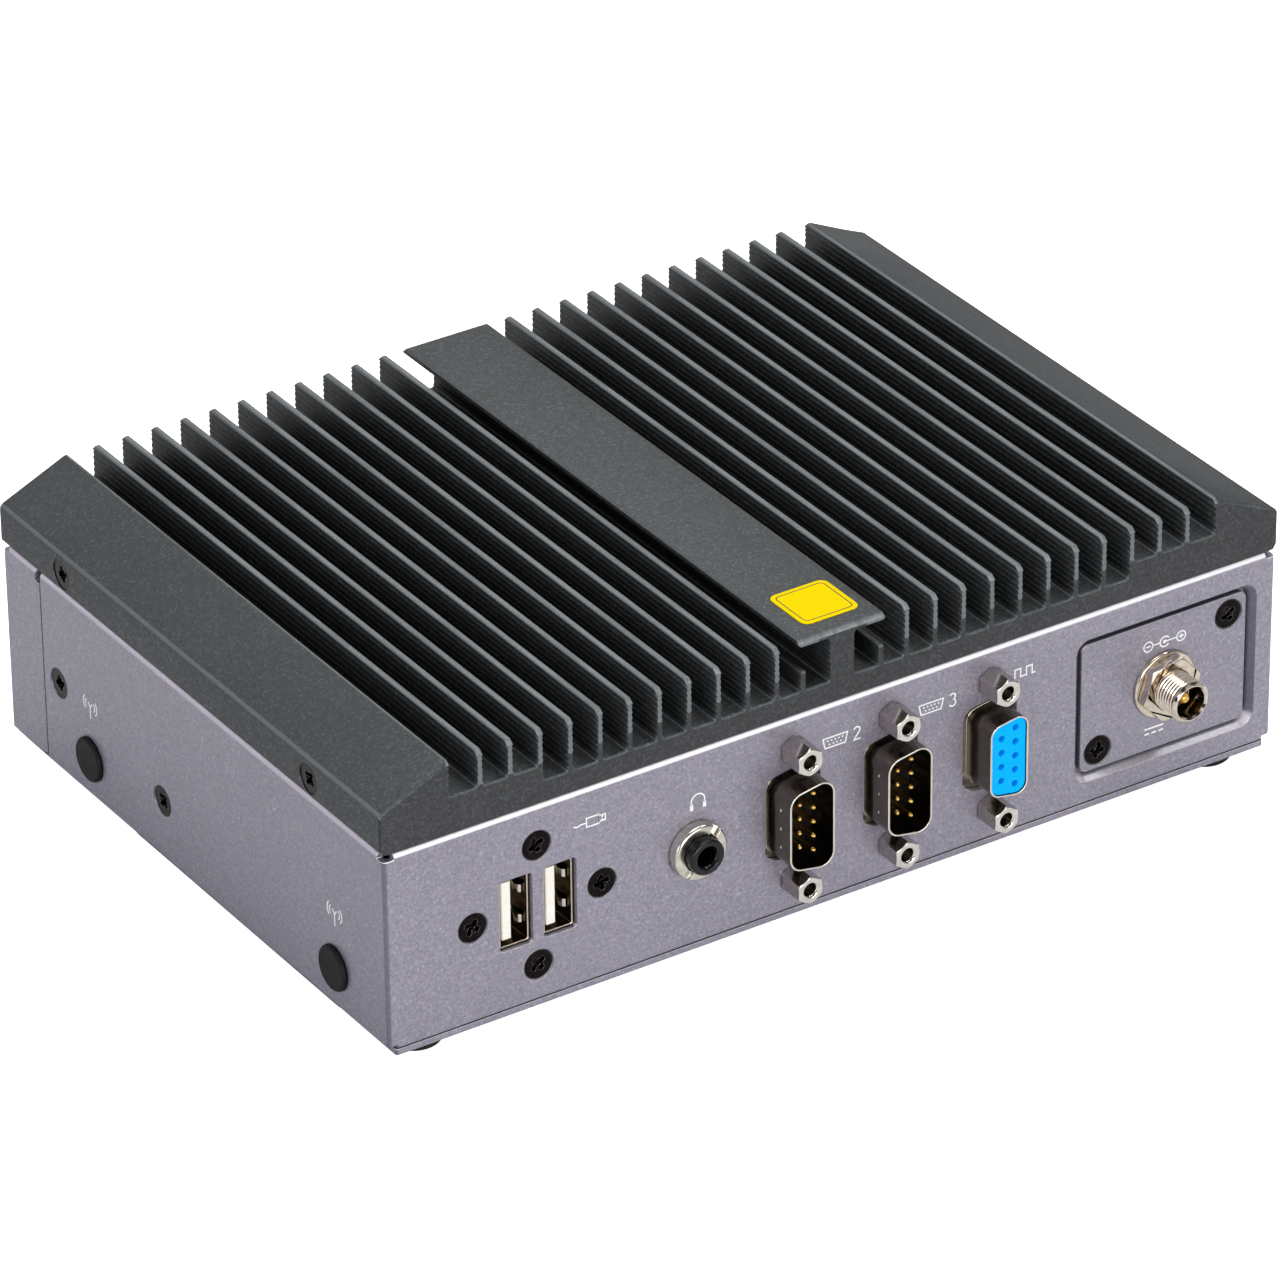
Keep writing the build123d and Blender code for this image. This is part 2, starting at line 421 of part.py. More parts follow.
def port(prefix, pl, female, tail=-10.4):
    if female:
        w, h, out_r, wall, deep = 7.9, 16.33, 2.3, 0.4, 5.9
    else:
        w, h, out_r, wall, deep = 9.1, 17.6, 2.7, 0.4, 6.0
    flange = slab(pl, 12.4, 30.8, -2.2, -1.22, 1.5)
    shell = flange + dee_solid(pl, w, h, out_r, -1.5, deep) - dee_solid(pl, w - 2 * wall, h - 2 * wall, out_r - wall, -3, 8)
    for s in (-1, 1):
        shell = shell - rod(Plane(origin=pl.origin + pl.y_dir * (s * JACK_PITCH / 2), x_dir=pl.x_dir, z_dir=pl.z_dir), 1.6, -3, 0)
    if not female:
        # grounding dimples in the two long walls
        for s in (-1, 1):
            for v in (-3.6, 0, 3.6):
                dimple = Plane(origin=pl.origin + pl.x_dir * (s * w / 2) + pl.y_dir * v + pl.z_dir * 3.4, z_dir=pl.x_dir * s)
                shell = shell - taper(dimple, 0.3, 0.55, -0.2, 0.1)
    save(prefix + "_shell", shell)
    gap = 0.05
    face = 5.6 if female else -0.05
    core = dee_solid(pl, w - 2 * wall - 2 * gap, h - 2 * wall - 2 * gap, out_r - wall - gap, -2.4, face) + slab(pl, 11.4, 19.0, tail, -2.25, 0.8)
    metal = []
    for u, v in PINS:
        q = Plane(origin=pl.origin + pl.x_dir * u + pl.y_dir * v, x_dir=pl.x_dir, z_dir=pl.z_dir)
        if female:
            core = core - rod(q, 0.62, 4.4, 6.5) - rod(q, 0.92, tail - 1, 4.4)
            metal.append(rod(q, 0.88, tail + 0.05, 4.3) - rod(q, 0.52, -1.0, 5))
        else:
            core = core - rod(q, 0.54, tail - 1, 1)
            metal.append(rod(q, 0.5, tail + 0.05, 4.1) + taper(q, 0.5, 0.22, 4.1, 4.45))
    save(prefix + "_insert", core)
    save(prefix + ("_contacts" if female else "_pins"), metal)
    jacks = []
    for s in (-1, 1):
        q = Plane(origin=pl.origin + pl.y_dir * (s * JACK_PITCH / 2), x_dir=pl.x_dir, z_dir=pl.z_dir)
        j = hexa(q, 4.75, 0.02, 5.5, 30)
        cone = taper(q, 3.55, 2.1, 4.75, 5.6) + rod(q, 3.55, -0.1, 4.75)
        j = (j & cone) + rod(q, 1.45, -5.5, 0.02) - rod(q, 1.2, 0.5, 6) - taper(q, 1.2, 1.55, 5.15, 5.52)
        jacks.append(j)
    return jacks


jackscrews = port("serial_a", front(SERIAL_A_X, PORT_Z), False)
jackscrews += port("serial_b", front(SERIAL_B_X, PORT_Z), False)
jackscrews += port("digital_io", front(DIGITAL_X, PORT_Z), True)
jackscrews += port("rear_serial", rser, False)
save("port_jackscrews", jackscrews)
save("serial_board", slab(front(9.9, PORT_Z), 55.0, 33.0, -12.1, -10.5, 1.0))

# ---------------------------------------------------------------- power inlet
ip = front(INLET[0], INLET[1], FY + RECESS_D - INLET_T)
plate = slab(ip, INLET_W, INLET_H, -INLET_T + 0.01, 0, 1.6)
dc = front(DC_X, DC_Z, FY + RECESS_D - INLET_T)
plate = plate - rod(dc, 3.95, -5, 1)
for x, z in INLET_SCREWS:
    q = front(x, z, FY + RECESS_D - INLET_T)
    plate = plate - rod(q, HEAD_R + 0.05, -0.4, 0.5) - taper(q, HEAD_R + 0.05, HEAD_R + 0.19, -0.14, 0.0) - taper(q, 1.95, HEAD_R + 0.05, -INLET_T - 0.05, -0.4)
save("power_inlet_plate", plate)
iscrews = []
for x, z in INLET_SCREWS:
    q = front(x, z, FY + RECESS_D - INLET_T)
    s = rod(q, HEAD_R, -0.4, -0.2) + taper(q, 1.9, HEAD_R, -INLET_T, -0.4) + rod(q, 1.9, -INLET_T - 0.3, -INLET_T) + rod(q, SHANK_R, -4.6, -INLET_T - 0.3)
    iscrews.append(s - cross_cut(Plane(origin=q.origin - q.z_dir * 0.18, x_dir=q.x_dir, z_dir=q.z_dir), deep=0.9, turn=30 if x > 70 else 75))
save("power_inlet_screws", iscrews)
TH_R = 3.85
barrel = rod(dc, TH_R, -9.0, 7.9) + taper(dc, TH_R, TH_R - 0.45, 7.9, 8.35) + rod(dc, 5.6, -3.2, -1.12) + rod(dc, 4.7, -10.0, -3.2)
barrel = barrel - rod(dc, 2.85, -6.5, 9) - taper(dc, 2.85, 3.2, 8.0, 8.4)
# thread grooves
for k in range(7):
    zc = 2.9 + 0.7 * k
    ring = rod(dc, TH_R + 0.5, zc - 0.14, zc + 0.14) - rod(dc, TH_R - 0.22, zc - 0.2, zc + 0.2)
    barrel = barrel - ring
save("dc_jack_barrel", barrel)
hexn = hexa(dc, 10.8, 0.85, 3.0, 12)
keep = rod(dc, 6.4, 0.5, 2.55) + taper(dc, 6.4, 5.3, 2.55, 3.05)
save("dc_jack_nut", (hexn & keep) - rod(dc, TH_R + 0.05, -1, 5))
washer = rod(dc, 6.4, 0.02, 0.8)
washer = chamfer(washer.edges().filter_by(GeomType.CIRCLE).sort_by(Axis.Y)[0], 0.25) - rod(dc, TH_R + 0.1, -1, 5)
save("dc_jack_washer", washer)
contact = rod(dc, 2.75, -6.4, -2.2) + rod(dc, 1.05, -2.2, 6.2) + taper(dc, 1.05, 0.6, 6.2, 6.7)
save("dc_jack_contact", contact)

# ---------------------------------------------------------------- label on the centre rail
label = slab(above(0.7, FY + 9.75, TOP_Z + 0.01), 11.5, 11.3, 0, 0.15, 1.6)
save("surface_label", label)

# ---------------------------------------------------------------- mainboard and what it carries
bz0, bz1 = BOARD_Z, BOARD_Z + BOARD_T
board = box(-73, 73, -41, RY - 1.9, bz0, bz1)
board = fillet(board.edges().filter_by(Axis.Z), 1.5)
for x, y in BOARD_SCREWS:
    board = board - rod(above(x, y, bz0), 1.6, -1, 3)
for x, y in BLOCK_SCREWS:
    board = board - rod(above(x, y, bz0), 1.6, -1, 3)
parts_on = [box(40.0, 62.0, -38.0, -34.4, 27.4, bz0 + 0.01), box(44, 58, 6.0, 8.6, 29.0, bz0 + 0.01),
            box(60, 70, -18, -10, bz1 - 0.01, 36.4), box(-64, -52, -30, -22, bz1 - 0.01, 37.0)]
for k in range(4):
    parts_on.append(box(-60 + 9 * k, -53.5 + 9 * k, 28, 34.5, bz1 - 0.01, 37.2))
for k in range(5):
    parts_on.append(rod(above(38 + 7 * k, 34, bz1), 2.4, -0.01, 3.4))
board = board + union(parts_on)
board = board - box(41.0, 61.0, -36.9, -34.0, 28.75, 29.65)     # card slot of the storage socket
save("mainboard", board)
package = box(-14, 14, -7, 17, bz1, bz1 + 1.2) + box(-8, 8, -1, 11, bz1 + 1.19, bz1 + 2.0)
save("processor_package", package)
save("thermal_pad", box(-9, 9, -2, 12, bz1 + 2.0, bz1 + 2.4))
block = box(-26, 26, -21, 31, bz1 + 3.4, CEIL_Z) + box(-12, 12, -5, 15, bz1 + 2.4, bz1 + 3.41)
for x, y in BLOCK_SCREWS:
    block = block - rod(above(x, y, 0), 1.6, 30, 45)
save("heat_block", block)
save("heat_block_screws", [pan_screw(below(x, y, bz0), 2.6, 1.4, 1.25, 9.2) for x, y in BLOCK_SCREWS])
socket = box(-36, 36, -38, -30.5, 27.6, bz0) - box(-34, 34, -36.5, -30, 29.35, 30.65)
for sx in (-1, 1):
    socket = socket + box(min(sx * 34.3, sx * 36), max(sx * 34.3, sx * 36), -30.6, -8, 28.4, bz0)
save("memory_socket", socket)
module = box(-33.8, 33.8, -36.0, -6.0, 29.4, 30.6)
for k in range(4):
    module = module + box(-30 + 16 * k, -18 + 16 * k, -27, -13, 28.3, 29.41)
save("memory_module", module)
store = box(41.1, 60.9, -36.8, 5.5, 28.8, 29.6) + box(44, 57, -29, -13, 27.6, 28.81) + box(45, 56, -9, 1, 27.6, 28.81)
save("storage_module", store)
holder = rod(below(-50, -2, bz0), 11.6, 0, 2.2) - rod(below(-50, -2, bz0), 10.1, 0.6, 3)
save("coin_cell_holder", holder)
cell = rod(below(-50, -2, bz0), 10.0, 0.6, 3.8)
cell = fillet(cell.edges().filter_by(GeomType.CIRCLE), 0.4)
save("coin_cell", cell)
stand = []
for x, y in BOARD_SCREWS:
    p = above(x, y, bz1)
    stand.append(hexa(p, 5.5, 0, 43.3 - bz1) + rod(p, 1.25, 43.3 - bz1, 43.3 - bz1 + 1.5) - rod(p, 1.3, -1, 5.5))
save("board_standoffs", stand)
save("board_screws", [pan_screw(below(x, y, bz0), 2.6, 1.4, 1.25, 6.0) for x, y in BOARD_SCREWS])

# ---------------------------------------------------------------- rear ports
pl = rear(RUSB_X, RUSB_Z)
rshell = slab(pl, 14.3, 15.6, -17.0, 0.3, 0.4)
for v in (-3.75, 3.75):
    rshell = rshell - slab(Plane(origin=pl.origin + pl.y_dir * v, x_dir=pl.x_dir, z_dir=pl.z_dir), 13.2, 5.6, -14.5, 1, 0.3)
save("rear_usb_shell", rshell)
rt = []
for v in (-3.75, 3.75):
    rt.append(pl.location * (Pos(0, v + 0.9, -8.0) * Box(11.1, 1.9, 12.9)))
save("rear_usb_tongues", rt)
pl = rear(NET_X, NET_Z)
net = slab(pl, 32.2, 13.6, -18.0, 0.3, 0.3)
for u in (-8.0, 8.0):
    net = net - pl.location * (Pos(u, -0.9, -6.0) * Box(11.9, 8.2, 12.8)) - pl.location * (Pos(u, 3.9, -6.0) * Box(6.2, 1.8, 12.8)) - pl.location * (Pos(u, 5.1, -6.0) * Box(3.2, 1.2, 12.8))
save("network_jack_pair", net)
pl = rear(VID_X, VID_Z)
vs = slab(pl, 15.2, 6.0, -12.0, 0.3, 0.8)
hd = make_face(Polyline((-7.2, 2.55), (7.2, 2.55), (7.2, -0.2), (5.0, -2.5), (-5.0, -2.5), (-7.2, -0.2), close=True))
vs = vs - pl.location * (Pos(0, 0, -9.5) * extrude(fillet(hd.vertices(), 0.4), amount=11))
save("video_port_shell", vs)
save("video_port_tongue", pl.location * (Pos(0, 0.3, -5.5) * Box(11.0, 1.3, 7.9)))

# ---------------------------------------------------------------- power button
pb = rear(BUTTON_X, BUTTON_Z)
switch = rod(pb, 7.4, 0.02, 1.2)
switch = fillet(switch.edges().filter_by(GeomType.CIRCLE).sort_by(Axis.Y)[-1], 0.6)
switch = switch + rod(pb, 5.95, -9.0, 0.02) + (hexa(pb, 14.0, -3.4, -1.22)) - rod(pb, 4.6, -4.2, 2) - rod(pb, 1.7, -7.0, -4.0)
switch = switch + slab(pb, 2.0, 0.6, -12.0, -8.95) 
save("power_switch", switch)
button = rod(pb, 4.5, -1.9, 1.7)
button = fillet(button.edges().filter_by(GeomType.CIRCLE).sort_by(Axis.Y)[-1], 0.35)
button = button + rod(pb, 1.6, -4.9, -1.8)
save("power_button", button)

# ---------------------------------------------------------------- power cable from the inlet to the board
cable = []
for dx, dz, ex in ((-1.4, 0.0, -1.3), (1.4, 0.0, 1.3)):
    p0 = (DC_X + dx, FY + 0.8 + 10.1, DC_Z + dz)
    p1 = (DC_X + dx, FY + 18.0, DC_Z + dz)
    p2 = (65 + ex, -38.0, 24.0)
    p3 = (65 + ex, -29.4, 28.4)
    path = Spline([p0, p1, p2, p3], tangents=[(0, 1, 0), (0, 0.75, 0.65)])
    prof = Plane(origin=p0, z_dir=(0, 1, 0)) * Circle(0.85)
    cable.append(sweep(prof, path=path))
plug = box(65.0 - 3.6, 65.0 + 3.6, -29.3, -22.5, 26.4, bz0 - 0.02)
cable.append(plug)
save("power_cable", cable)
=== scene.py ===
import math

import bpy
import numpy as np
from mathutils import Matrix, Vector


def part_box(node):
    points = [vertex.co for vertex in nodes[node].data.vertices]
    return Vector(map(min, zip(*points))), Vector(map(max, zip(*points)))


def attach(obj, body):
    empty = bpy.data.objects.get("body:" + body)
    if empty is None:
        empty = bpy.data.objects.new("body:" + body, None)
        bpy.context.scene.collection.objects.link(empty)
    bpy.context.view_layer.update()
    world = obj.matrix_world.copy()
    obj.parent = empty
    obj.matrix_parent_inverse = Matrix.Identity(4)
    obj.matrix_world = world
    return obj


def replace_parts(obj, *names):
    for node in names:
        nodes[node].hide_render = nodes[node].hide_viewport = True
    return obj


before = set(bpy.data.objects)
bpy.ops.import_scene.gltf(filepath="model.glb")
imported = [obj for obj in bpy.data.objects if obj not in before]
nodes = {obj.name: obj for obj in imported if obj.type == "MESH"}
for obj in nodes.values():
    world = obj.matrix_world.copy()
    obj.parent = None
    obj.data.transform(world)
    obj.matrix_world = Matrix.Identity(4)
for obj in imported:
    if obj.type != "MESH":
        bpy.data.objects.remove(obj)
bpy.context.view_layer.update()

MM = 0.001
bpy.context.scene.view_settings.view_transform = "Standard"
bpy.context.scene.view_settings.look = "None"


def mm(node):
    lo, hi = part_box(node)
    return [v * 1000 for v in lo], [v * 1000 for v in hi]


# ------------------------------------------------------------------ materials
def srgb(r, g, b):
    f = lambda c: c / 255 / 12.92 if c / 255 <= 0.04045 else ((c / 255 + 0.055) / 1.055) ** 2.4
    return (f(r), f(g), f(b), 1.0)


class Tree:
    """A small wrapper to write node trees briefly. Texture scales are per metre, in object space."""

    def __init__(self, name):
        self.mat = bpy.data.materials.new(name)
        self.mat.use_nodes = True
        self.nt = self.mat.node_tree
        self.nt.nodes.clear()
        out = self.nt.nodes.new("ShaderNodeOutputMaterial")
        self.bsdf = self.nt.nodes.new("ShaderNodeBsdfPrincipled")
        self.nt.links.new(self.bsdf.outputs[0], out.inputs[0])
        self.tc = self.nt.nodes.new("ShaderNodeTexCoord").outputs["Object"]
        self.xyz = None

    def put(self, sock, v):
        if hasattr(v, "is_output"):
            self.nt.links.new(v, sock)
        else:
            sock.default_value = v

    def set(self, name, v):
        self.put(self.bsdf.inputs[name], v)

    def axis(self, i):
        if self.xyz is None:
            n = self.nt.nodes.new("ShaderNodeSeparateXYZ")
            self.nt.links.new(self.tc, n.inputs[0])
            self.xyz = n.outputs
        return self.xyz[i]

    def noise(self, scale, detail=2.0, rough=0.5, stretch=None, color=False):
        n = self.nt.nodes.new("ShaderNodeTexNoise")
        n.inputs["Scale"].default_value = scale
        n.inputs["Detail"].default_value = detail
        n.inputs["Roughness"].default_value = rough
        src = self.tc
        if stretch:
            m = self.nt.nodes.new("ShaderNodeMapping")
            m.inputs["Scale"].default_value = stretch
            self.nt.links.new(self.tc, m.inputs["Vector"])
            src = m.outputs[0]
        self.nt.links.new(src, n.inputs["Vector"])
        return n.outputs["Color" if color else "Fac"]

    def cells(self, scale, out="Color"):
        n = self.nt.nodes.new("ShaderNodeTexVoronoi")
        n.inputs["Scale"].default_value = scale
        self.nt.links.new(self.tc, n.inputs["Vector"])
        if out == "Color":
            s = self.nt.nodes.new("ShaderNodeSeparateColor")
            self.nt.links.new(n.outputs["Color"], s.inputs[0])
            return s.outputs
        return n.outputs[out]

    def math(self, op, a, b=0.0, clamp=False):
        n = self.nt.nodes.new("ShaderNodeMath")
        n.operation = op
        n.use_clamp = clamp
        self.put(n.inputs[0], a)
        self.put(n.inputs[1], b)
        return n.outputs[0]

    def remap(self, v, a0, a1, b0, b1):
        n = self.nt.nodes.new("ShaderNodeMapRange")
        self.put(n.inputs[0], v)
        for i, x in enumerate((a0, a1, b0, b1)):
            n.inputs[i + 1].default_value = x
        return n.outputs[0]

    def mix(self, fac, a, b, mode="MIX"):
        n = self.nt.nodes.new("ShaderNodeMix")
        n.data_type = "RGBA"
        n.blend_type = mode
        self.put(n.inputs[0], fac)
        self.put(n.inputs[6], a)
        self.put(n.inputs[7], b)
        return n.outputs[2]

    def bump(self, height, strength=0.3, distance=0.0001):
        n = self.nt.nodes.new("ShaderNodeBump")
        n.inputs["Strength"].default_value = strength
        n.inputs["Distance"].default_value = distance
        self.put(n.inputs["Height"], height)
        self.nt.links.new(n.outputs[0], self.bsdf.inputs["Normal"])

    def island(self):
        return self.nt.nodes.new("ShaderNodeNewGeometry").outputs["Random Per Island"]

    def attr(self, name):
        n = self.nt.nodes.new("ShaderNodeAttribute")
        n.attribute_name = name
        return n.outputs["Fac"]

    def normal(self, i):
        """Signed component of the surface normal."""
        g = self.nt.nodes.new("ShaderNodeNewGeometry")
        n = self.nt.nodes.new("ShaderNodeSeparateXYZ")
        self.nt.links.new(g.outputs["Normal"], n.inputs[0])
        return n.outputs[i]

    def neg(self, v):
        return self.math("MULTIPLY", v, -1.0)

    def occlusion_shade(self, distance, lo=0.15, hi=0.65):
        """1 on open surfaces, falling to 0 deep in slots and pockets; the materials use it to paint shade into
        recesses.
        """
        n = self.nt.nodes.new("ShaderNodeAmbientOcclusion")
        n.samples = 6
        n.inputs["Distance"].default_value = distance
        return self.remap(n.outputs["AO"], lo, hi, 0.0, 1.0)

    def edge_wear_and_glint(self, radius=0.0002):
        """0 on flat faces, rising on sharp outer edges."""
        b = self.nt.nodes.new("ShaderNodeBevel")
        b.samples = 4
        b.inputs["Radius"].default_value = radius
        g = self.nt.nodes.new("ShaderNodeNewGeometry")
        d = self.nt.nodes.new("ShaderNodeVectorMath")
        d.operation = "DOT_PRODUCT"
        self.nt.links.new(b.outputs[0], d.inputs[0])
        self.nt.links.new(g.outputs["Normal"], d.inputs[1])
        return self.remap(d.outputs["Value"], 0.995, 0.85, 0.0, 1.0)


def paint(name):
    """Fine metallic powder coat: flakes of slightly different hue under a satin film."""
    t = Tree(name)
    c = t.cells(2900)
    fine = t.noise(1900, 3, 0.7)
    mid = t.noise(1100, 2, 0.5)
    broad = t.noise(38, 2, 0.5)
    col = t.mix(t.remap(fine, 0.3, 0.7, 0, 1), srgb(*PAINT_LO), srgb(*PAINT_HI))
    col = t.mix(t.remap(c[0], 0.0, 1.0, 0.0, 0.4), col, srgb(*PAINT_WARM))
    col = t.mix(t.remap(c[2], 0.0, 1.0, 0.0, 0.35), col, srgb(*PAINT_COOL))
    col = t.mix(t.remap(c[1], 0.86, 1.0, 0.0, 0.3), col, srgb(*PAINT_FLAKE))
    col = t.mix(t.remap(mid, 0.35, 0.65, 0.0, 0.25), col, srgb(*PAINT_LO))
    col = t.mix(t.remap(broad, 0.3, 0.7, 0.0, 0.12), col, srgb(*PAINT_LO))
    nx, ny, nz = t.normal(0), t.normal(1), t.normal(2)
    # painted highlight: faces between up and front (the top bend of the front panel) turn near white; below 35 mm
    # height only at 22 %
    front_bend_highlight = t.remap(t.math("MULTIPLY", nz, t.neg(ny)), 0.10, 0.36, 0.0, 0.95)
    front_bend_highlight = t.math("MULTIPLY", front_bend_highlight, t.remap(t.axis(2), 0.035, 0.037, 0.22, 1.0))
    # painted highlight: faces between up and sideways (the top bends of the side walls) turn pale pinkish white
    side_bend_highlight = t.remap(t.math("MULTIPLY", nz, t.math("ABSOLUTE", nx)), 0.10, 0.38, 0.0, 0.85)
    # painted dark reflection: faces between front and left (the front-left vertical bend) turn dark blue-grey
    corner = t.remap(t.math("MULTIPLY", t.neg(nx), t.neg(ny)), 0.14, 0.42, 0.0, 0.62)
    col = t.mix(corner, col, srgb(66, 66, 84))
    col = t.mix(side_bend_highlight, col, srgb(232, 222, 236))
    col = t.mix(front_bend_highlight, col, srgb(252, 250, 254))
    # painted shade: recesses, gaps and seams within 1.2 mm turn dark grey
    col = t.mix(t.occlusion_shade(0.0012, 0.28, 0.66), srgb(34, 32, 38), col)
    t.set("Base Color", col)
    t.set("Metallic", 0.5)
    t.set("Roughness", t.remap(c[1], 0.0, 1.0, 0.40, 0.52))
    t.set("Coat Weight", 0.4)
    t.set("Coat Roughness", 0.2)
    t.bump(t.math("ADD", fine, t.math("MULTIPLY", c[0], 0.3)), 0.16, 0.00006)
    return t.mat


def anodised(name):
    """Bead-blasted dark anodising; bare bright metal where fin tips and sawn edges were cut (attribute 'cut')."""
    t = Tree(name)
    fine = t.noise(2100, 3, 0.7)
    broad = t.noise(26, 2, 0.5)
    c = t.cells(2700)
    col = t.mix(t.remap(fine, 0.32, 0.68, 0, 1), srgb(*ANO_LO), srgb(*ANO_HI))
    col = t.mix(t.remap(broad, 0.3, 0.7, 0.0, 0.35), col, srgb(*ANO_LO))
    col = t.mix(t.remap(c[0], 0.72, 1.0, 0.0, 0.3), col, srgb(124, 130, 132))
    col = t.mix(t.remap(c[1], 0.7, 1.0, 0.0, 0.4), col, srgb(22, 23, 24))
    nx, ny, nz = t.normal(0), t.normal(1), t.normal(2)
    # painted dark reflection: faces between front and left (the front-left vertical corner) turn near black
    corner = t.remap(t.math("MULTIPLY", t.neg(nx), t.neg(ny)), 0.2, 0.45, 0.0, 0.75)
    col = t.mix(corner, col, srgb(8, 9, 10))
    ax = t.math("ABSOLUTE", nx)
    # painted light: faces leaning about 0.4 sideways (the side slopes) are painted lighter grey
    slope_highlight = t.math("MULTIPLY", t.remap(ax, 0.3, 0.4, 0.0, 1.0), t.remap(ax, 0.5, 0.46, 0.0, 0.22))
    col = t.mix(slope_highlight, col, srgb(88, 91, 93))
    # painted highlight: the fillets between the slopes and the vertical sides turn light grey
    shoulder_highlight = t.math("MULTIPLY", t.remap(ax, 0.5, 0.62, 0.0, 0.55), t.remap(ax, 0.98, 0.88, 0.0, 1.0))
    shoulder_highlight = t.math("MULTIPLY", shoulder_highlight, t.remap(nz, 0.1, 0.25, 0.0, 1.0))
    col = t.mix(shoulder_highlight, col, srgb(126, 130, 132))
    # painted shade: faces that point straight to the front are painted darker
    col = t.mix(t.remap(ny, -0.9, -0.98, 0.0, 0.42), col, srgb(20, 21, 23))
    # painted highlight: front faces above 46.2 mm between the side blocks, outside the middle 10 mm, are painted light
    # grey
    fin_front_highlight = t.math("MULTIPLY", t.remap(ny, -0.96, -0.99, 0.0, 1.0), t.math("GREATER_THAN", t.axis(2), 0.0462))
    fin_front_highlight = t.math("MULTIPLY", fin_front_highlight, t.math("GREATER_THAN", t.math("ABSOLUTE", t.math("SUBTRACT", t.axis(0), 0.0002)), 0.0049))
    fin_front_highlight = t.math("MULTIPLY", fin_front_highlight, t.math("LESS_THAN", t.math("ABSOLUTE", t.axis(0)), FIN_EDGE))
    col = t.mix(t.math("MULTIPLY", fin_front_highlight, 0.55), col, srgb(128, 134, 136))
    # painted shade: fin channels and pockets within 8 mm turn near black, and their specular level drops there
    ao_unshaded = t.occlusion_shade(0.008, 0.10, 0.52)
    col = t.mix(ao_unshaded, srgb(9, 10, 11), col)
    cut = t.attr("cut")
    scratch = t.noise(900, 3, 0.6, stretch=(1, 0.06, 1))
    cut2 = t.math("MULTIPLY", cut, t.remap(scratch, 0.35, 0.6, 0.55, 1.0))
    col = t.mix(cut2, col, srgb(*ANO_CUT))
    t.set("Base Color", col)
    t.set("Metallic", t.remap(cut, 0, 1, 0.1, 0.5))
    t.set("Specular IOR Level", t.remap(ao_unshaded, 0, 1, 0.12, 0.5))
    t.set("Roughness", t.math("SUBTRACT", t.remap(fine, 0.3, 0.7, 0.46, 0.6), t.math("MULTIPLY", cut, 0.12)))
    t.bump(t.math("ADD", fine, t.math("MULTIPLY", c[2], 0.3)), 0.2, 0.00006)
    return t.mat


def metal(name, a, b, rough=(0.16, 0.3), scale=900, stretch=None, bump=0.08, metallic=1.0, wear_and_glint=None, wall_shade=None):
    """Side faces that look neither front nor rear get painted shade: a darker colour and amount given per material,
    standing in for the dark reflections on the plating.
    """
    t = Tree(name)
    n1 = t.noise(scale, 3, 0.6, stretch=stretch)
    n2 = t.noise(scale / 9, 2, 0.5)
    col = t.mix(t.remap(n1, 0.3, 0.7, 0, 1), srgb(*a), srgb(*b))
    col = t.mix(t.remap(n2, 0.35, 0.65, 0.0, 0.35), col, srgb(*a))
    # sharp edges turn brighter: partly worn metal, partly a painted highlight along the rims
    if wear_and_glint:
        col = t.mix(t.math("MULTIPLY", t.edge_wear_and_glint(), 0.7), col, srgb(*wear_and_glint))
    # painted shade: faces that turn away from front and rear are painted in the given dark colour
    if wall_shade:
        side = t.remap(t.math("ABSOLUTE", t.normal(1)), 0.75, 0.35, 0.0, wall_shade[3])
        col = t.mix(side, col, srgb(*wall_shade[:3]))
    t.set("Base Color", col)
    t.set("Metallic", metallic)
    t.set("Roughness", t.remap(t.math("MULTIPLY", t.math("ADD", n1, n2), 0.5), 0.3, 0.7, *rough))
    t.bump(n1, bump, 0.00004)
    return t.mat


def plastic(name, a, b, rough=(0.34, 0.5), scale=2200, bump=0.18, spec=0.5, subsurface=0.0, dist=0.00005, painted_glow=0.0):
    t = Tree(name)
    n1 = t.noise(scale, 3, 0.6)
    n2 = t.noise(scale / 30, 2, 0.5)
    c = t.cells(scale * 1.2)
    col = t.mix(t.remap(n1, 0.3, 0.7, 0, 1), srgb(*a), srgb(*b))
    col = t.mix(t.remap(n2, 0.35, 0.65, 0.0, 0.3), col, srgb(*a))
    t.set("Base Color", col)
    t.set("Roughness", t.remap(n1, 0.3, 0.7, *rough))
    t.set("Specular IOR Level", spec)
    if subsurface:
        t.set("Subsurface Weight", subsurface)
        t.set("Subsurface Radius", (0.0006, 0.0005, 0.0004))
    # painted light: the base colour is emitted as well, so the part glows though it is no lamp
    if painted_glow:
        t.set("Emission Color", srgb(*a))
        t.set("Emission Strength", painted_glow)
    t.bump(t.math("ADD", n1, t.math("MULTIPLY", c[0], 0.5)), bump, dist)
    return t.mat


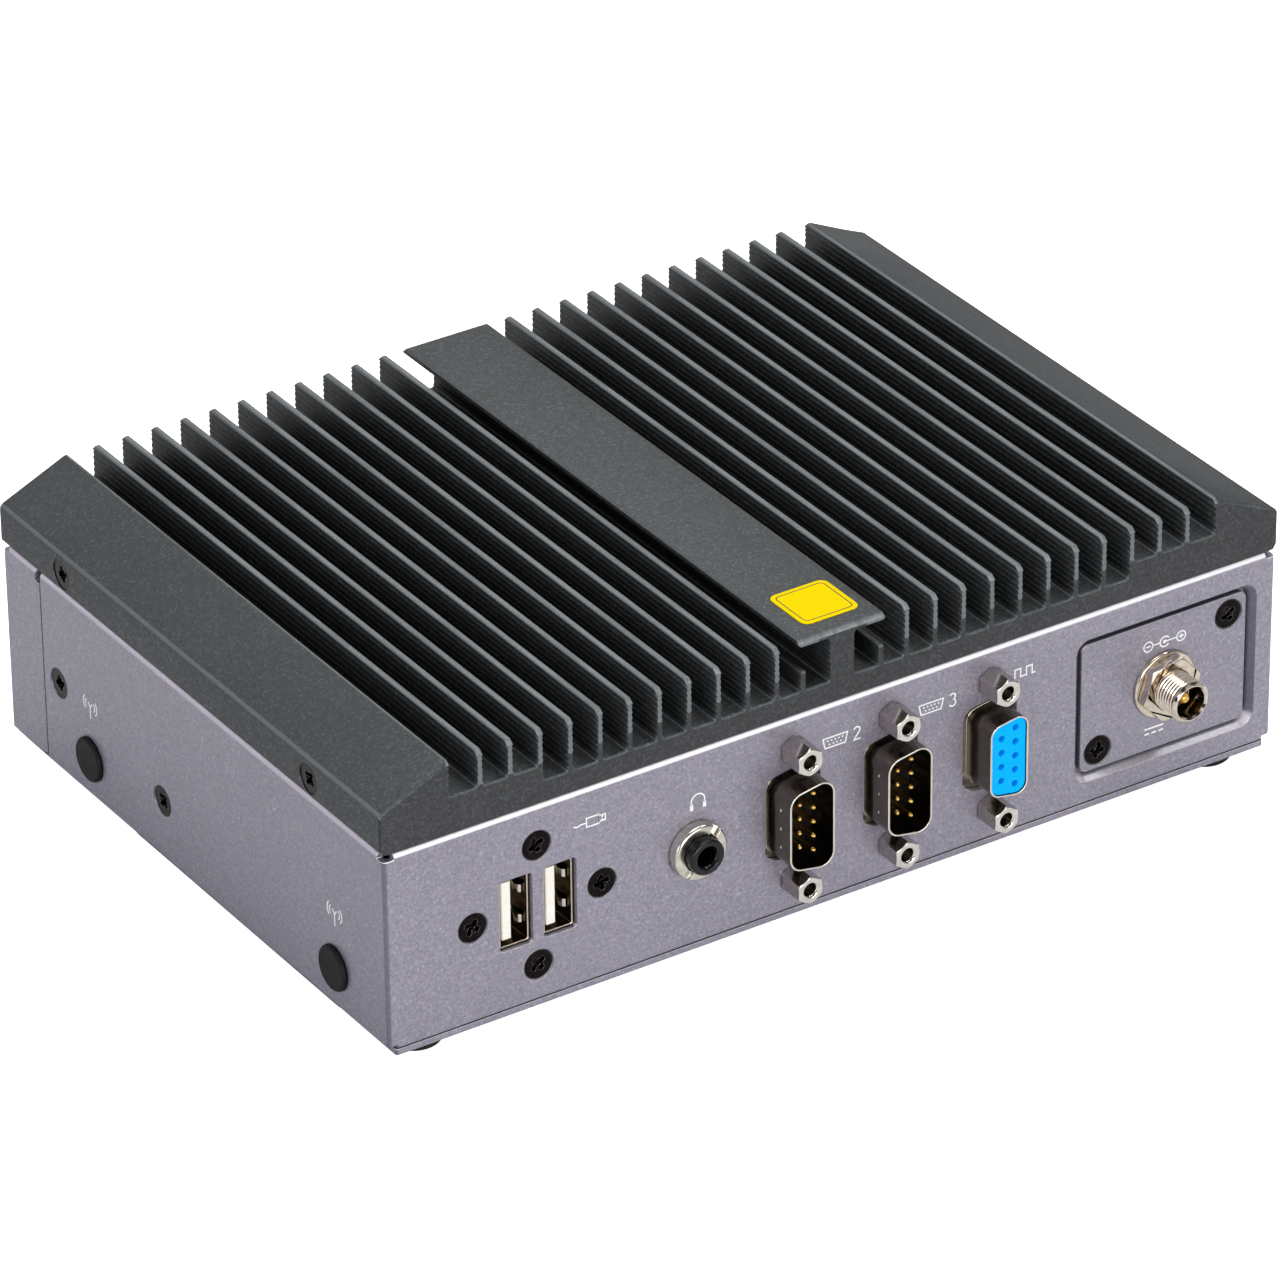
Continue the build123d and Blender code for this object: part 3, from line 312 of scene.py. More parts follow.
def board_mat(name, z0, z1):
    """Solder mask with traces; anything standing off the laminate is a dark moulded part."""
    t = Tree(name)
    fine = t.noise(2400, 2, 0.5)
    w = t.nt.nodes.new("ShaderNodeTexBrick")
    w.inputs["Scale"].default_value = 240
    w.inputs["Mortar Size"].default_value = 0.03
    w.inputs["Color1"].default_value = srgb(14, 60, 38)
    w.inputs["Color2"].default_value = srgb(18, 70, 44)
    w.inputs["Mortar"].default_value = srgb(40, 110, 70)
    t.nt.links.new(t.tc, w.inputs["Vector"])
    c = t.cells(420, "Distance")
    pad = t.remap(c, 0.10, 0.06, 0.0, 1.0)
    col = t.mix(pad, w.outputs["Color"], srgb(206, 178, 110))
    on = t.math("MULTIPLY", t.math("GREATER_THAN", t.axis(2), z0 - 0.00004), t.math("LESS_THAN", t.axis(2), z1 + 0.00004))
    chip = t.mix(t.remap(fine, 0.3, 0.7, 0, 1), srgb(26, 26, 28), srgb(42, 42, 44))
    t.set("Base Color", t.mix(on, chip, col))
    t.set("Roughness", t.remap(fine, 0.3, 0.7, 0.3, 0.5))
    t.bump(t.math("ADD", t.math("MULTIPLY", fine, 0.4), pad), 0.2, 0.00005)
    return t.mat


def cable_mat(name):
    t = Tree(name)
    r = t.island()
    fine = t.noise(2400, 2, 0.6)
    a = t.mix(t.math("GREATER_THAN", r, 0.36), srgb(170, 20, 22), srgb(20, 20, 21))
    a = t.mix(t.math("GREATER_THAN", r, 0.7), a, srgb(214, 206, 188))
    t.set("Base Color", t.mix(t.remap(fine, 0.3, 0.7, 0.0, 0.25), a, srgb(60, 56, 54)))
    t.set("Roughness", t.remap(fine, 0.3, 0.7, 0.35, 0.55))
    t.bump(fine, 0.15, 0.00004)
    return t.mat


def print_ink(name, a, b):
    t = Tree(name)
    fine = t.noise(3400, 3, 0.6)
    edge = t.noise(700, 2, 0.5)
    col = t.mix(t.remap(fine, 0.35, 0.65, 0, 1), srgb(*a), srgb(*b))
    t.set("Base Color", col)
    t.set("Roughness", t.remap(edge, 0.3, 0.7, 0.45, 0.65))
    t.bump(fine, 0.15, 0.00002)
    return t.mat


PAINT_LO, PAINT_HI = (120, 117, 129), (168, 164, 176)
PAINT_WARM, PAINT_COOL, PAINT_FLAKE = (172, 154, 162), (114, 126, 152), (214, 212, 222)
ANO_LO, ANO_HI, ANO_CUT = (36, 38, 40), (72, 75, 77), (146, 151, 152)
FIN_EDGE = 0.0770

M = {
    "heatsink_anodised": anodised("heatsink_anodised_mat"),
    "case_paint": paint("case_paint_mat"),
    "screw_black": metal("screw_black_mat", (20, 18, 18), (38, 34, 33), (0.12, 0.2), 1500, metallic=1.0, bump=0.1, wear_and_glint=(150, 144, 140)),
    "zinc_steel": metal("zinc_steel_mat", (172, 172, 168), (206, 206, 202), (0.26, 0.42), 500),
    "plug_black": plastic("plug_black_mat", (8, 8, 9), (16, 15, 16), (0.5, 0.66), 1800, 0.3, 0.25),
    "foot_rubber": plastic("foot_rubber_mat", (18, 18, 19), (30, 30, 31), (0.62, 0.8), 1600, 0.35, 0.35),
    "label_yellow": plastic("label_yellow_mat", (243, 214, 0), (250, 222, 0), (0.42, 0.56), 1500, 0.1, 0.02),
    "shell_nickel": metal("shell_nickel_mat", (212, 204, 190), (238, 232, 220), (0.12, 0.22), 700, wear_and_glint=(246, 242, 234), wall_shade=(72, 60, 50, 0.86)),
    "usb_nickel": metal("usb_nickel_mat", (206, 192, 166), (232, 220, 198), (0.14, 0.26), 700, wear_and_glint=(246, 240, 226), wall_shade=(84, 68, 44, 0.85)),
    "jack_steel": metal("jack_steel_mat", (204, 198, 190), (236, 231, 224), (0.08, 0.16), 900, wear_and_glint=(246, 243, 238), wall_shade=(156, 147, 143, 0.6)),
    "nickel": metal("nickel_mat", (196, 190, 178), (228, 223, 212), (0.14, 0.26), 700, wear_and_glint=(240, 236, 228)),
    "cream_plastic": plastic("cream_plastic_mat", (244, 240, 228), (252, 249, 242), (0.3, 0.44), 1500, 0.1, subsurface=0.15),
    "black_plastic": plastic("black_plastic_mat", (7, 7, 8), (14, 14, 15), (0.14, 0.24), 1700, 0.1, 0.35),
    "blue_plastic": plastic("blue_plastic_mat", (0, 160, 252), (0, 172, 255), (0.34, 0.46), 1500, 0.1, 0.05, painted_glow=0.14),
    "gold": metal("gold_mat", (222, 176, 88), (246, 206, 122), (0.14, 0.26), 900),
    "warm_nickel": metal("warm_nickel_mat", (196, 182, 164), (232, 222, 208), (0.08, 0.18), 800, wear_and_glint=(248, 242, 232)),
    "chip_black": plastic("chip_black_mat", (24, 26, 28), (42, 44, 46), (0.3, 0.5), 1200, 0.1),
    "thermal_grey": plastic("thermal_grey_mat", (150, 152, 158), (176, 178, 182), (0.6, 0.8), 1400, 0.4),
    "bare_aluminium": metal("bare_aluminium_mat", (180, 182, 184), (210, 212, 214), (0.24, 0.4), 700, stretch=(1, 0.08, 1), bump=0.25),
    "brass_hex": metal("brass_hex_mat", (196, 160, 84), (222, 188, 110), (0.2, 0.34), 600),
    "button_steel": metal("button_steel_mat", (176, 176, 178), (206, 206, 208), (0.2, 0.36), 700, stretch=(0.1, 1, 1), bump=0.15),
    "cable_red_black": cable_mat("cable_red_black_mat"),
    "circuit_board": None,
    "ink_white": print_ink("ink_white_mat", (232, 232, 234), (246, 246, 248)),
    "ink_black": print_ink("ink_black_mat", (24, 22, 18), (40, 36, 30)),
}

SLOTS = {
    "case_paint": "chassis_shell rear_panel bottom_plate power_inlet_plate",
    "heatsink_anodised": "heatsink_cover",
    "screw_black": "cover_side_screws chassis_side_screws usb_bracket_screws power_inlet_screws bottom_plate_screws",
    "zinc_steel": "foot_screws usb_mount_bracket heat_block_screws board_screws",
    "plug_black": "antenna_hole_plugs",
    "foot_rubber": "rubber_feet",
    "label_yellow": "surface_label",
    "shell_nickel": "serial_a_shell serial_b_shell digital_io_shell rear_serial_shell",
    "usb_nickel": "usb_left_shell usb_right_shell rear_usb_shell video_port_shell",
    "jack_steel": "port_jackscrews",
    "nickel": "audio_jack_nut coin_cell network_jack_pair",
    "cream_plastic": "usb_left_tongue usb_right_tongue",
    "circuit_board": "usb_board serial_board mainboard memory_module storage_module",
    "black_plastic": "audio_jack_body serial_a_insert serial_b_insert rear_serial_insert memory_socket coin_cell_holder video_port_tongue",
    "blue_plastic": "digital_io_insert rear_usb_tongues",
    "gold": "serial_a_pins serial_b_pins rear_serial_pins digital_io_contacts dc_jack_contact",
    "warm_nickel": "dc_jack_barrel dc_jack_nut dc_jack_washer",
    "chip_black": "processor_package",
    "thermal_grey": "thermal_pad",
    "bare_aluminium": "heat_block",
    "brass_hex": "board_standoffs",
    "button_steel": "power_button power_switch",
    "cable_red_black": "power_cable",
}
BEVEL = {"chassis_shell": 0.14, "rear_panel": 0.14, "bottom_plate": 0.14, "power_inlet_plate": 0.18,
         "cover_side_screws": 0.05, "chassis_side_screws": 0.05, "usb_bracket_screws": 0.05, "power_inlet_screws": 0.05,
         "dc_jack_barrel": 0.05, "dc_jack_nut": 0.12, "dc_jack_washer": 0.07, "port_jackscrews": 0.1,
         "serial_a_shell": 0.09, "serial_b_shell": 0.09, "digital_io_shell": 0.09, "rear_serial_shell": 0.09,
         "usb_left_shell": 0.08, "usb_right_shell": 0.08, "usb_left_tongue": 0.12, "usb_right_tongue": 0.12,
         "audio_jack_nut": 0.14, "audio_jack_body": 0.12, "digital_io_insert": 0.1, "surface_label": 0.05,
         "rear_usb_shell": 0.1, "network_jack_pair": 0.12, "video_port_shell": 0.1, "rear_usb_tongues": 0.12,
         "antenna_hole_plugs": 0.0, "rubber_feet": 0.0}

for slot_name, names in SLOTS.items():
    for n in names.split():
        o = nodes[n]
        mat = M[slot_name]
        if mat is None:
            lo, hi = mm(n)
            if n == "mainboard":
                z0, z1 = 0.0324, 0.0340
            elif n in ("memory_module", "storage_module"):
                z0, z1 = 0.0288, 0.0306
            else:
                z0, z1 = lo[2] / 1000, hi[2] / 1000
            mat = board_mat(n + "_mat", z0, z1)
        if len(o.material_slots) == 0:
            o.data.materials.append(mat)
        for s in o.material_slots:
            s.material = mat
        w = o.modifiers.new("weld", "WELD")
        w.merge_threshold = 2e-6
        d = o.modifiers.new("flat", "DECIMATE")
        d.decimate_type = "DISSOLVE"
        d.angle_limit = math.radians(0.6)
        bw = BEVEL.get(n, 0.08)
        if bw:
            b = o.modifiers.new("edges", "BEVEL")
            b.width = bw * MM
            b.segments = 2
            b.limit_method = "ANGLE"
            b.angle_limit = math.radians(32)
            b.use_clamp_overlap = False
            b.miter_outer = "MITER_ARC"
            b.face_strength_mode = "FSTR_AFFECTED"
        s = o.modifiers.new("shade", "WEIGHTED_NORMAL")
        s.mode = "FACE_AREA"
        s.keep_sharp = False
        s.use_face_influence = bool(bw)


# ------------------------------------------------------------------ mesh helpers
def add(name, verts, faces, mat, body="case", smooth=30.0, weld=False, cut=None):
    """verts in millimetres."""
    me = bpy.data.meshes.new(name)
    me.from_pydata([(x * MM, y * MM, z * MM) for x, y, z in verts], [], faces)
    if cut is not None:
        vals, plain = cut
        loops = np.zeros(len(me.loops), np.int32)
        me.loops.foreach_get("vertex_index", loops)
        arr = np.array(vals, np.float32)[loops]
        for p in me.polygons:
            if p.index in plain:
                arr[p.loop_start:p.loop_start + p.loop_total] = 0.0
        a = me.attributes.new("cut", "FLOAT", "CORNER")
        a.data.foreach_set("value", arr)
    me.update()
    o = bpy.data.objects.new(name, me)
    bpy.context.scene.collection.objects.link(o)
    me.materials.append(mat)
    if smooth:
        me.polygons.foreach_set("use_smooth", [True] * len(me.polygons))
        me.set_sharp_from_angle(angle=math.radians(smooth))
    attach(o, body)
    return o


class Build:
    """Collects vertices and faces of several closed solids for one piece."""

    def __init__(self):
        self.v, self.f = [], []

    def solid(self, rings, closed_loop=True, caps=True):
        """Loft of equal rings of 3-D points; each ring is a closed loop."""
        base = len(self.v)
        n = len(rings[0])
        for r in rings:
            self.v += [tuple(p) for p in r]
        for j in range(len(rings) - 1):
            for i in range(n):
                a, b = base + j * n + i, base + j * n + (i + 1) % n
                self.f.append((a, a + n, b + n, b))
        if caps:
            self.f.append(tuple(range(base, base + n)))
            self.f.append(tuple(reversed(range(base + (len(rings) - 1) * n, base + len(rings) * n))))

    def add_raw(self, verts, faces):
        base = len(self.v)
        self.v += [tuple(p) for p in verts]
        self.f += [tuple(base + i for i in f) for f in faces]


class Face:
    """A plane with millimetre coordinates: u right, v up, h outward."""

    def __init__(self, origin, u, v):
        self.o, self.u, self.v = Vector(origin), Vector(u), Vector(v)
        self.n = self.u.cross(self.v)

    def at(self, u, v, h=0.0):
        return tuple(self.o + self.u * u + self.v * v + self.n * h)


def arc(cx, cy, r, a0, a1, n=16):
    return [(cx + r * math.cos(math.radians(a0 + (a1 - a0) * k / n)), cy + r * math.sin(math.radians(a0 + (a1 - a0) * k / n))) for k in range(n + 1)]


def ribbon(b, fc, pts, width, h, loop=False):
    """A raised printed line with chamfered sides, following pts on the plane."""
    pts = [Vector(p) for p in pts]
    n = len(pts)
    left, right = [], []
    for i in range(n):
        p = pts[i]
        a = pts[i - 1] if (i > 0 or loop) else None
        c = pts[(i + 1) % n] if (i < n - 1 or loop) else None
        d1 = (p - a).normalized() if a is not None else (c - p).normalized()
        d2 = (c - p).normalized() if c is not None else d1
        t = (d1 + d2)
        t = t.normalized() if t.length > 1e-6 else d1
        nrm = Vector((-t.y, t.x))
        k = 1.0 / max(0.5, nrm.dot(Vector((-d1.y, d1.x))))
        left.append(p + nrm * (width / 2 * k))
        right.append(p - nrm * (width / 2 * k))
    rings = []
    for i in range(n):
        m = (left[i] + right[i]) / 2
        li, ri = m + (left[i] - m) * 0.86, m + (right[i] - m) * 0.86
        rings.append([fc.at(*right[i], 0.0), fc.at(*ri, h), fc.at(*li, h), fc.at(*left[i], 0.0)])
    if loop:
        base = len(b.v)
        for r in rings:
            b.v += r
        for i in range(n):
            j = (i + 1) % n
            for k in range(4):
                q = (k + 1) % 4
                b.f.append((base + i * 4 + k, base + i * 4 + q, base + j * 4 + q, base + j * 4 + k))
    else:
        base = len(b.v)
        for r in rings:
            b.v += r
        for i in range(n - 1):
            for k in range(4):
                q = (k + 1) % 4
                b.f.append((base + i * 4 + k, base + i * 4 + q, base + (i + 1) * 4 + q, base + (i + 1) * 4 + k))
        b.f.append(tuple(base + k for k in (3, 2, 1, 0)))
        b.f.append(tuple(base + (n - 1) * 4 + k for k in (0, 1, 2, 3)))


def disc(b, fc, cx, cy, r, h, n=20, r_top=None):
    r_top = r * 0.9 if r_top is None else r_top
    rings = [[fc.at(cx + q * math.cos(2 * math.pi * k / n), cy + q * math.sin(2 * math.pi * k / n), z) for k in range(n)] for q, z in ((r, 0.0), (r_top, h))]
    base = len(b.v)
    b.v += rings[0] + rings[1]
    for k in range(n):
        q = (k + 1) % n
        b.f.append((base + k, base + q, base + n + q, base + n + k))
    b.f.append(tuple(base + n + k for k in range(n)))
    b.f.append(tuple(base + k for k in reversed(range(n))))


def block(b, fc, u0, u1, v0, v1, h0, h1, ch=0.0):
    """Box on a plane with its outer edges chamfered."""
    def ring(s, h):
        return [fc.at(u0 + s, v0 + s, h), fc.at(u1 - s, v0 + s, h), fc.at(u1 - s, v1 - s, h), fc.at(u0 + s, v1 - s, h)]
    rings = [ring(0, h0), ring(0, h1 - ch), ring(ch, h1)] if ch else [ring(0, h0), ring(0, h1)]
    base = len(b.v)
    for r in rings:
        b.v += r
    for j in range(len(rings) - 1):
        for k in range(4):
            q = (k + 1) % 4
            b.f.append((base + j * 4 + k, base + j * 4 + q, base + j * 4 + 4 + q, base + j * 4 + 4 + k))
    b.f.append(tuple(base + (len(rings) - 1) * 4 + k for k in range(4)))
    b.f.append(tuple(base + k for k in (3, 2, 1, 0)))


# ------------------------------------------------------------------ heatsink
def heatsink():
    lo, hi = mm("heatsink_cover")
    HW, Y0, Y1, SEAT, TOP = hi[0], lo[1], hi[1], lo[2], hi[2]
    SH, SLOPE, BIN = 46.5, 12.8, 77.2
    FT, PITCH, FIRST, COUNT = 1.15, 5.825, 13.1, 11
    DEEP, SHAL = 42.9, 45.85
    RW, RT, STEM = 17.3, 1.35, 5.1
    CEIL, PX, PXI = 40.4, 86.55, 63.0
    c = [(HW - 0.85, SEAT, 0.0, 0), (HW, SEAT + 0.85, 0.0, 0), (HW, SH, 1.3, 0), (HW - SLOPE, TOP, 0.6, 0), (BIN, TOP, 0.3, 1), (BIN, SHAL, 0.55, 0)]
    for k in range(COUNT - 1, -1, -1):
        f = FIRST + PITCH * k
        fo = SHAL if k >= COUNT - 3 else DEEP
        fi = SHAL if k >= COUNT - 2 else DEEP
        c += [(f + FT / 2 + 0.06, fo, 0.55, 1), (f + FT / 2 - 0.02, TOP, 0.3, 0), (f - FT / 2 + 0.02, TOP, 0.3, 1), (f - FT / 2 - 0.06, fi, 0.55, 0)]
    c += [(8.48, DEEP, 0.4, 0), (8.42, 46.65, 0.25, 0), (7.28, 46.65, 0.25, 0), (7.22, DEEP, 0.4, 0),
          (STEM / 2, DEEP, 0.5, 2), (STEM / 2, TOP - RT, 0.6, 0), (RW / 2 - 0.35, TOP - RT, 0.12, 0), (RW / 2, TOP - RT + 0.35, 0.12, 0), (RW / 2, TOP, 0.3, 0)]
    pts = []      # x, z, nx, nz, kind, zone
    def corner(i):
        p = Vector(c[i][:2])
        a = Vector(c[i - 1][:2]) if i else Vector((p.x - 5, p.y))
        b = Vector(c[i + 1][:2]) if i < len(c) - 1 else Vector((-p.x, p.y))
        r = c[i][2]
        d1, d2 = (p - a).normalized(), (b - p).normalized()
        turn = math.atan2(d1.x * d2.y - d1.y * d2.x, d1.dot(d2))
        n1, n2 = Vector((d1.y, -d1.x)), Vector((d2.y, -d2.x))
        if r < 0.01 or abs(turn) < 0.02:
            m = (n1 + n2).normalized()
            return [(p.x, p.y, m.x, m.y)]
        t = r * math.tan(abs(turn) / 2)
        t = min(t, 0.48 * (p - a).length, 0.48 * (b - p).length)
        r2 = t / math.tan(abs(turn) / 2)
        s = 1 if turn > 0 else -1
        centre = p - d1 * t - n1 * (s * r2)
        steps = 6 if r > 1 else 4
        out = []
        for k in range(steps + 1):
            q = turn * k / steps
            n = Vector((n1.x * math.cos(q) - n1.y * math.sin(q), n1.x * math.sin(q) + n1.y * math.cos(q)))
            e = centre + n * (s * r2)
            out.append((e.x, e.y, n.x, n.y))
        return out
    AMP, RP = 0.15, 1.02
    for i in range(len(c)):
        zone = 1 if (i > 2 and i < len(c) - 5) else (2 if i >= len(c) - 5 else 0)
        here = corner(i)
        pts += [h + (zone,) for h in here]
        if c[i][3] and i < len(c) - 1:
            nxt = corner(i + 1)
            a, b = Vector(here[-1][:2]), Vector(nxt[0][:2])
            d = b - a
            L = d.length
            n = Vector((d.y, -d.x)).normalized()
            cnt = max(1, int(L / RP))
            amp = AMP if c[i][3] == 1 else AMP * 0.8
            per = L / cnt
            for j in range(cnt):
                for q in (0.17, 0.33, 0.5, 0.67, 0.83):
                    s = (j + q) * per
                    off = amp * (0.5 - 0.5 * math.cos(2 * math.pi * q))
                    e = a + d.normalized() * s - n * off
                    pts.append((e.x, e.y, n.x, n.y, zone))
                if j < cnt - 1:
                    e = a + d.normalized() * ((j + 1) * per)
                    pts.append((e.x, e.y, n.x, n.y, zone))
    left = [(-x, z, -nx, nz, zn) for x, z, nx, nz, zn in reversed(pts)]
    prof = pts + left
    nb = len(prof)
    bottom = [(-PX, SEAT), (-PX, 43.3), (-PXI, 43.3), (-PXI, CEIL), (PXI, CEIL), (PXI, 43.3), (PX, 43.3), (PX, SEAT)]
    X = np.array([p[0] for p in prof] + [p[0] for p in bottom])
    Z = np.array([p[1] for p in prof] + [p[1] for p in bottom])
    NX = np.array([p[2] for p in prof] + [0.0] * len(bottom))
    NZ = np.array([p[3] for p in prof] + [0.0] * len(bottom))
    ZN = np.array([p[4] for p in prof] + [0] * len(bottom))
    N = len(X)
    outer = np.abs(X) > HW - 0.9
    side = np.where(outer, 0.28, 0.12)
    side = np.where(NZ > 0.6, 0.32, side)          # floors and slopes
    side = np.where(Z > TOP - 0.35, 0.0, side)
    side[nb:] = 0.0
    side[(Z < SEAT + 0.01)] = 0.0
    zr = np.where(ZN == 2, 1.0, 2.0)
    down = 0.8 * np.clip((Z - (TOP - zr)) / zr, 0, 1) * (ZN > 0)
    under_rail = (ZN == 2) & (NZ < -0.3)
    down = np.where(under_rail, 0.0, down)
    is_top = (Z > TOP - 0.34) & (ZN > 0)
    def ring(y, fs, fd):
        return np.stack([X - NX * side * fs, np.full(N, y), Z - NZ * side * fs - down * fd], 1)
    s1 = 41.7, -39.9
    holes = sorted(s1)
    st = [(Y0, 1, 1.0), (Y0 + 0.3, 0, 0.62), (Y0 + 0.85, 0, 0.0)]
    for h in holes:
        st += [(h - 4, 0, 0), (h + 4, 0, 0)]
    st += [(Y1 - 0.85, 0, 0), (Y1 - 0.3, 0, 0.62), (Y1, 1, 1.0)]
    V = np.concatenate([ring(*s) for s in st])
    rail_top = (ZN == 2)
    slope_top = np.abs(X) > BIN + 0.45
    cutv = []
    for y, fs, fd in st:
        base = np.where(is_top & ~rail_top & ~slope_top, 0.55, 0.0)
        if fd:
            base = np.where(is_top & ~slope_top, 1.0 if fd > 0.9 else 0.8, base)
            base = np.where(~is_top & (NZ > 0.6) & (Z < 47), 0.3 if fs else 0.0, base)
            base[nb:] = 0
        cutv.append(base)
    cutv = np.concatenate(cutv)
    faces = []
    nr = len(st)
    # the flat side walls carry the countersunk holes
    side_quads = {}
    for i in range(N):
        j = (i + 1) % N
        if abs(abs(X[i]) - HW) < 1e-3 and abs(abs(X[j]) - HW) < 1e-3 and abs(Z[i] - Z[j]) > 3:
            side_quads[i] = 1 if X[i] > 0 else -1
    patches = []
    for r in range(nr - 1):
        mid = (st[r][0] + st[r + 1][0]) / 2
        hole = [h for h in holes if abs(mid - h) < 0.1]
        for i in range(N):
            j = (i + 1) % N
            if hole and i in side_quads:
                patches.append((side_quads[i], hole[0], (r * N + i, (r + 1) * N + i, (r + 1) * N + j, r * N + j)))
                continue
            faces.append((r * N + i, (r + 1) * N + i, (r + 1) * N + j, r * N + j))
    plain = {len(faces), len(faces) + 1}
    faces.append(tuple(range(N)))
    faces.append(tuple(reversed(range((nr - 1) * N, nr * N))))
    V = [tuple(v) for v in V]
    cutv = list(cutv)
    HZ = 42.6
    K = 40
    for sx, yc, quad in patches:
        rings = []
        for r_, d_ in ((2.90, 0.0), (2.79, 0.12), (2.79, 0.46), (1.52, 1.76), (1.52, 4.0)):
            b0 = len(V)
            for k in range(K):
                a = 2 * math.pi * (k + 0.5) / K
                V.append((sx * (HW - d_), yc + r_ * math.cos(a), HZ + r_ * math.sin(a)))
                cutv.append(0.02)
            rings.append(b0)
        first = len(faces)
        corners = sorted(quad, key=lambda q: math.atan2(V[q][2] - HZ, V[q][1] - yc) % (2 * math.pi))  # ++ , -+ , --, +-
        tri = []
        for s in range(4):
            k0, k1 = s * K // 4, (s + 1) * K // 4
            for k in range(k0, k1 - 1):
                tri.append((corners[s], rings[0] + k + 1, rings[0] + k))
            last, nxt = rings[0] + k1 - 1, rings[0] + k1 % K
            tri.append((corners[s], nxt, last))
            tri.append((corners[s], corners[(s + 1) % 4], nxt))
        for a_, b_ in zip(rings[:-1], rings[1:]):
            for k in range(K):
                q = (k + 1) % K
                tri.append((a_ + k, a_ + q, b_ + q))
                tri.append((a_ + k, b_ + q, b_ + k))
        tri.append(tuple(rings[-1] + k for k in range(K)))
        if sx < 0:
            tri = [tuple(reversed(t)) for t in tri]
        faces += tri
        plain |= set(range(first, first + K + 4))
    # end walls of the pocket under the base
    notch = [(-PX, SEAT), (PX, SEAT), (PX, 43.3), (PXI, 43.3), (PXI, CEIL), (-PXI, CEIL), (-PXI, 43.3), (-PX, 43.3)]
    for ya, yb in ((Y0, -58.0), (58.0, Y1)):
        b0 = len(V)
        for y in (ya, yb):
            for x, z in notch:
                V.append((x, y, z))
                cutv.append(0.0)
        n = len(notch)
        for i in range(n):
            j = (i + 1) % n
            faces.append((b0 + i, b0 + n + i, b0 + n + j, b0 + j))
        faces.append(tuple(b0 + i for i in range(n)))
        faces.append(tuple(b0 + n + i for i in reversed(range(n))))
    o = add("heatsink", V, faces, M["heatsink_anodised"], "case", smooth=38, cut=(cutv, plain))
    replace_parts(o, "heatsink_cover")
    return o


heatsink()

# ------------------------------------------------------------------ panels as drawing planes
_clo, _chi = mm("chassis_shell")
FY = _clo[1]
LX = _clo[0]
RY = mm("rear_panel")[1][1]
front = Face((0, FY, 0), (1, 0, 0), (0, 0, 1))
left = Face((LX, 0, 0), (0, -1, 0), (0, 0, 1))
rear = Face((0, RY, 0), (-1, 0, 0), (0, 0, 1))
INK = 0.025


def centre(node):
    lo, hi = mm(node)
    return [(a + b) / 2 for a, b in zip(lo, hi)]


def icon(name, build, mat="ink_white", body="case"):
    b = Build()
    build(b)
    return add(name, b.v, b.f, M[mat], body, smooth=0)


def headphones(b, fc, x, z, s=1.0):
    ribbon(b, fc, arc(x, z, 1.35 * s, -28, 208, 20), 0.27, INK)
    for q in (-1, 1):
        block(b, fc, x + q * 1.28 * s - 0.32, x + q * 1.28 * s + 0.32, z - 1.55 * s, z - 0.45 * s, 0, INK)


def lathe(name, cx, cz, y0, prof, mat, n=72):
    """Closed body of revolution about a line along Y; prof is (distance outward to the front, radius)."""
    b = Build()
    rings = [[(cx + r * math.cos(2 * math.pi * k / n), y0 - h, cz + r * math.sin(2 * math.pi * k / n)) for k in range(n)] for h, r in prof]
    b.solid(rings)
    vol = 0.0
    for f in b.f:
        p0 = Vector(b.v[f[0]])
        for k in range(1, len(f) - 1):
            vol += p0.dot(Vector(b.v[f[k]]).cross(Vector(b.v[f[k + 1]])))
    if vol < 0:
        b.f = [tuple(reversed(f)) for f in b.f]
    return add(name, b.v, b.f, mat, smooth=24)


# threaded barrel of the power socket: V thread over the free length, chamfered mouth, blind bore
lo_, hi_ = mm("dc_jack_barrel")
DCX, DCZ, DCY = (lo_[0] + hi_[0]) / 2, (lo_[2] + hi_[2]) / 2, lo_[1] + 8.35
prof = [(-10.0, 4.7), (-3.2, 4.7), (-3.2, 5.6), (-1.12, 5.6), (-1.12, 3.85), (2.72, 3.85)]
for k_ in range(7):
    z_ = 2.72 + 0.72 * k_
    prof += [(z_ + 0.24, 3.42), (z_ + 0.34, 3.42), (z_ + 0.58, 3.84), (z_ + 0.70, 3.84)]
prof += [(7.86, 3.85), (8.25, 3.5), (8.35, 3.36), (8.35, 3.2), (8.0, 2.87), (-6.5, 2.85)]
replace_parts(lathe("dc_threaded_barrel", DCX, DCZ, DCY, prof, M["warm_nickel"]), "dc_jack_barrel")
lathe("dc_inner_sleeve", DCX, DCZ, DCY, [(-6.3, 2.05), (4.6, 2.05), (4.75, 1.95), (4.75, 1.8), (-5.9, 1.78)], M["warm_nickel"], n=48)


def usb_plug(b, fc, x, z, s=1.0):
    """Generic plug outline: body, metal tip with two windows, and a lead."""
    ribbon(b, fc, [(x - 0.2, z - 0.85), (x + 2.2, z - 0.85), (x + 2.2, z + 0.85), (x - 0.2, z + 0.85)], 0.26, INK, loop=True)
    ribbon(b, fc, [(x + 2.2, z - 0.55), (x + 3.5, z - 0.55), (x + 3.5, z + 0.55), (x + 2.2, z + 0.55)], 0.24, INK, loop=True)
    for q in (-0.25, 0.25):
        block(b, fc, x + 2.72, x + 3.06, z + q - 0.11, z + q + 0.11, 0, INK)
    ribbon(b, fc, [(x - 0.2, z), (x - 1.4, z), (x - 2.1, z - 0.25), (x - 2.8, z)], 0.26, INK)


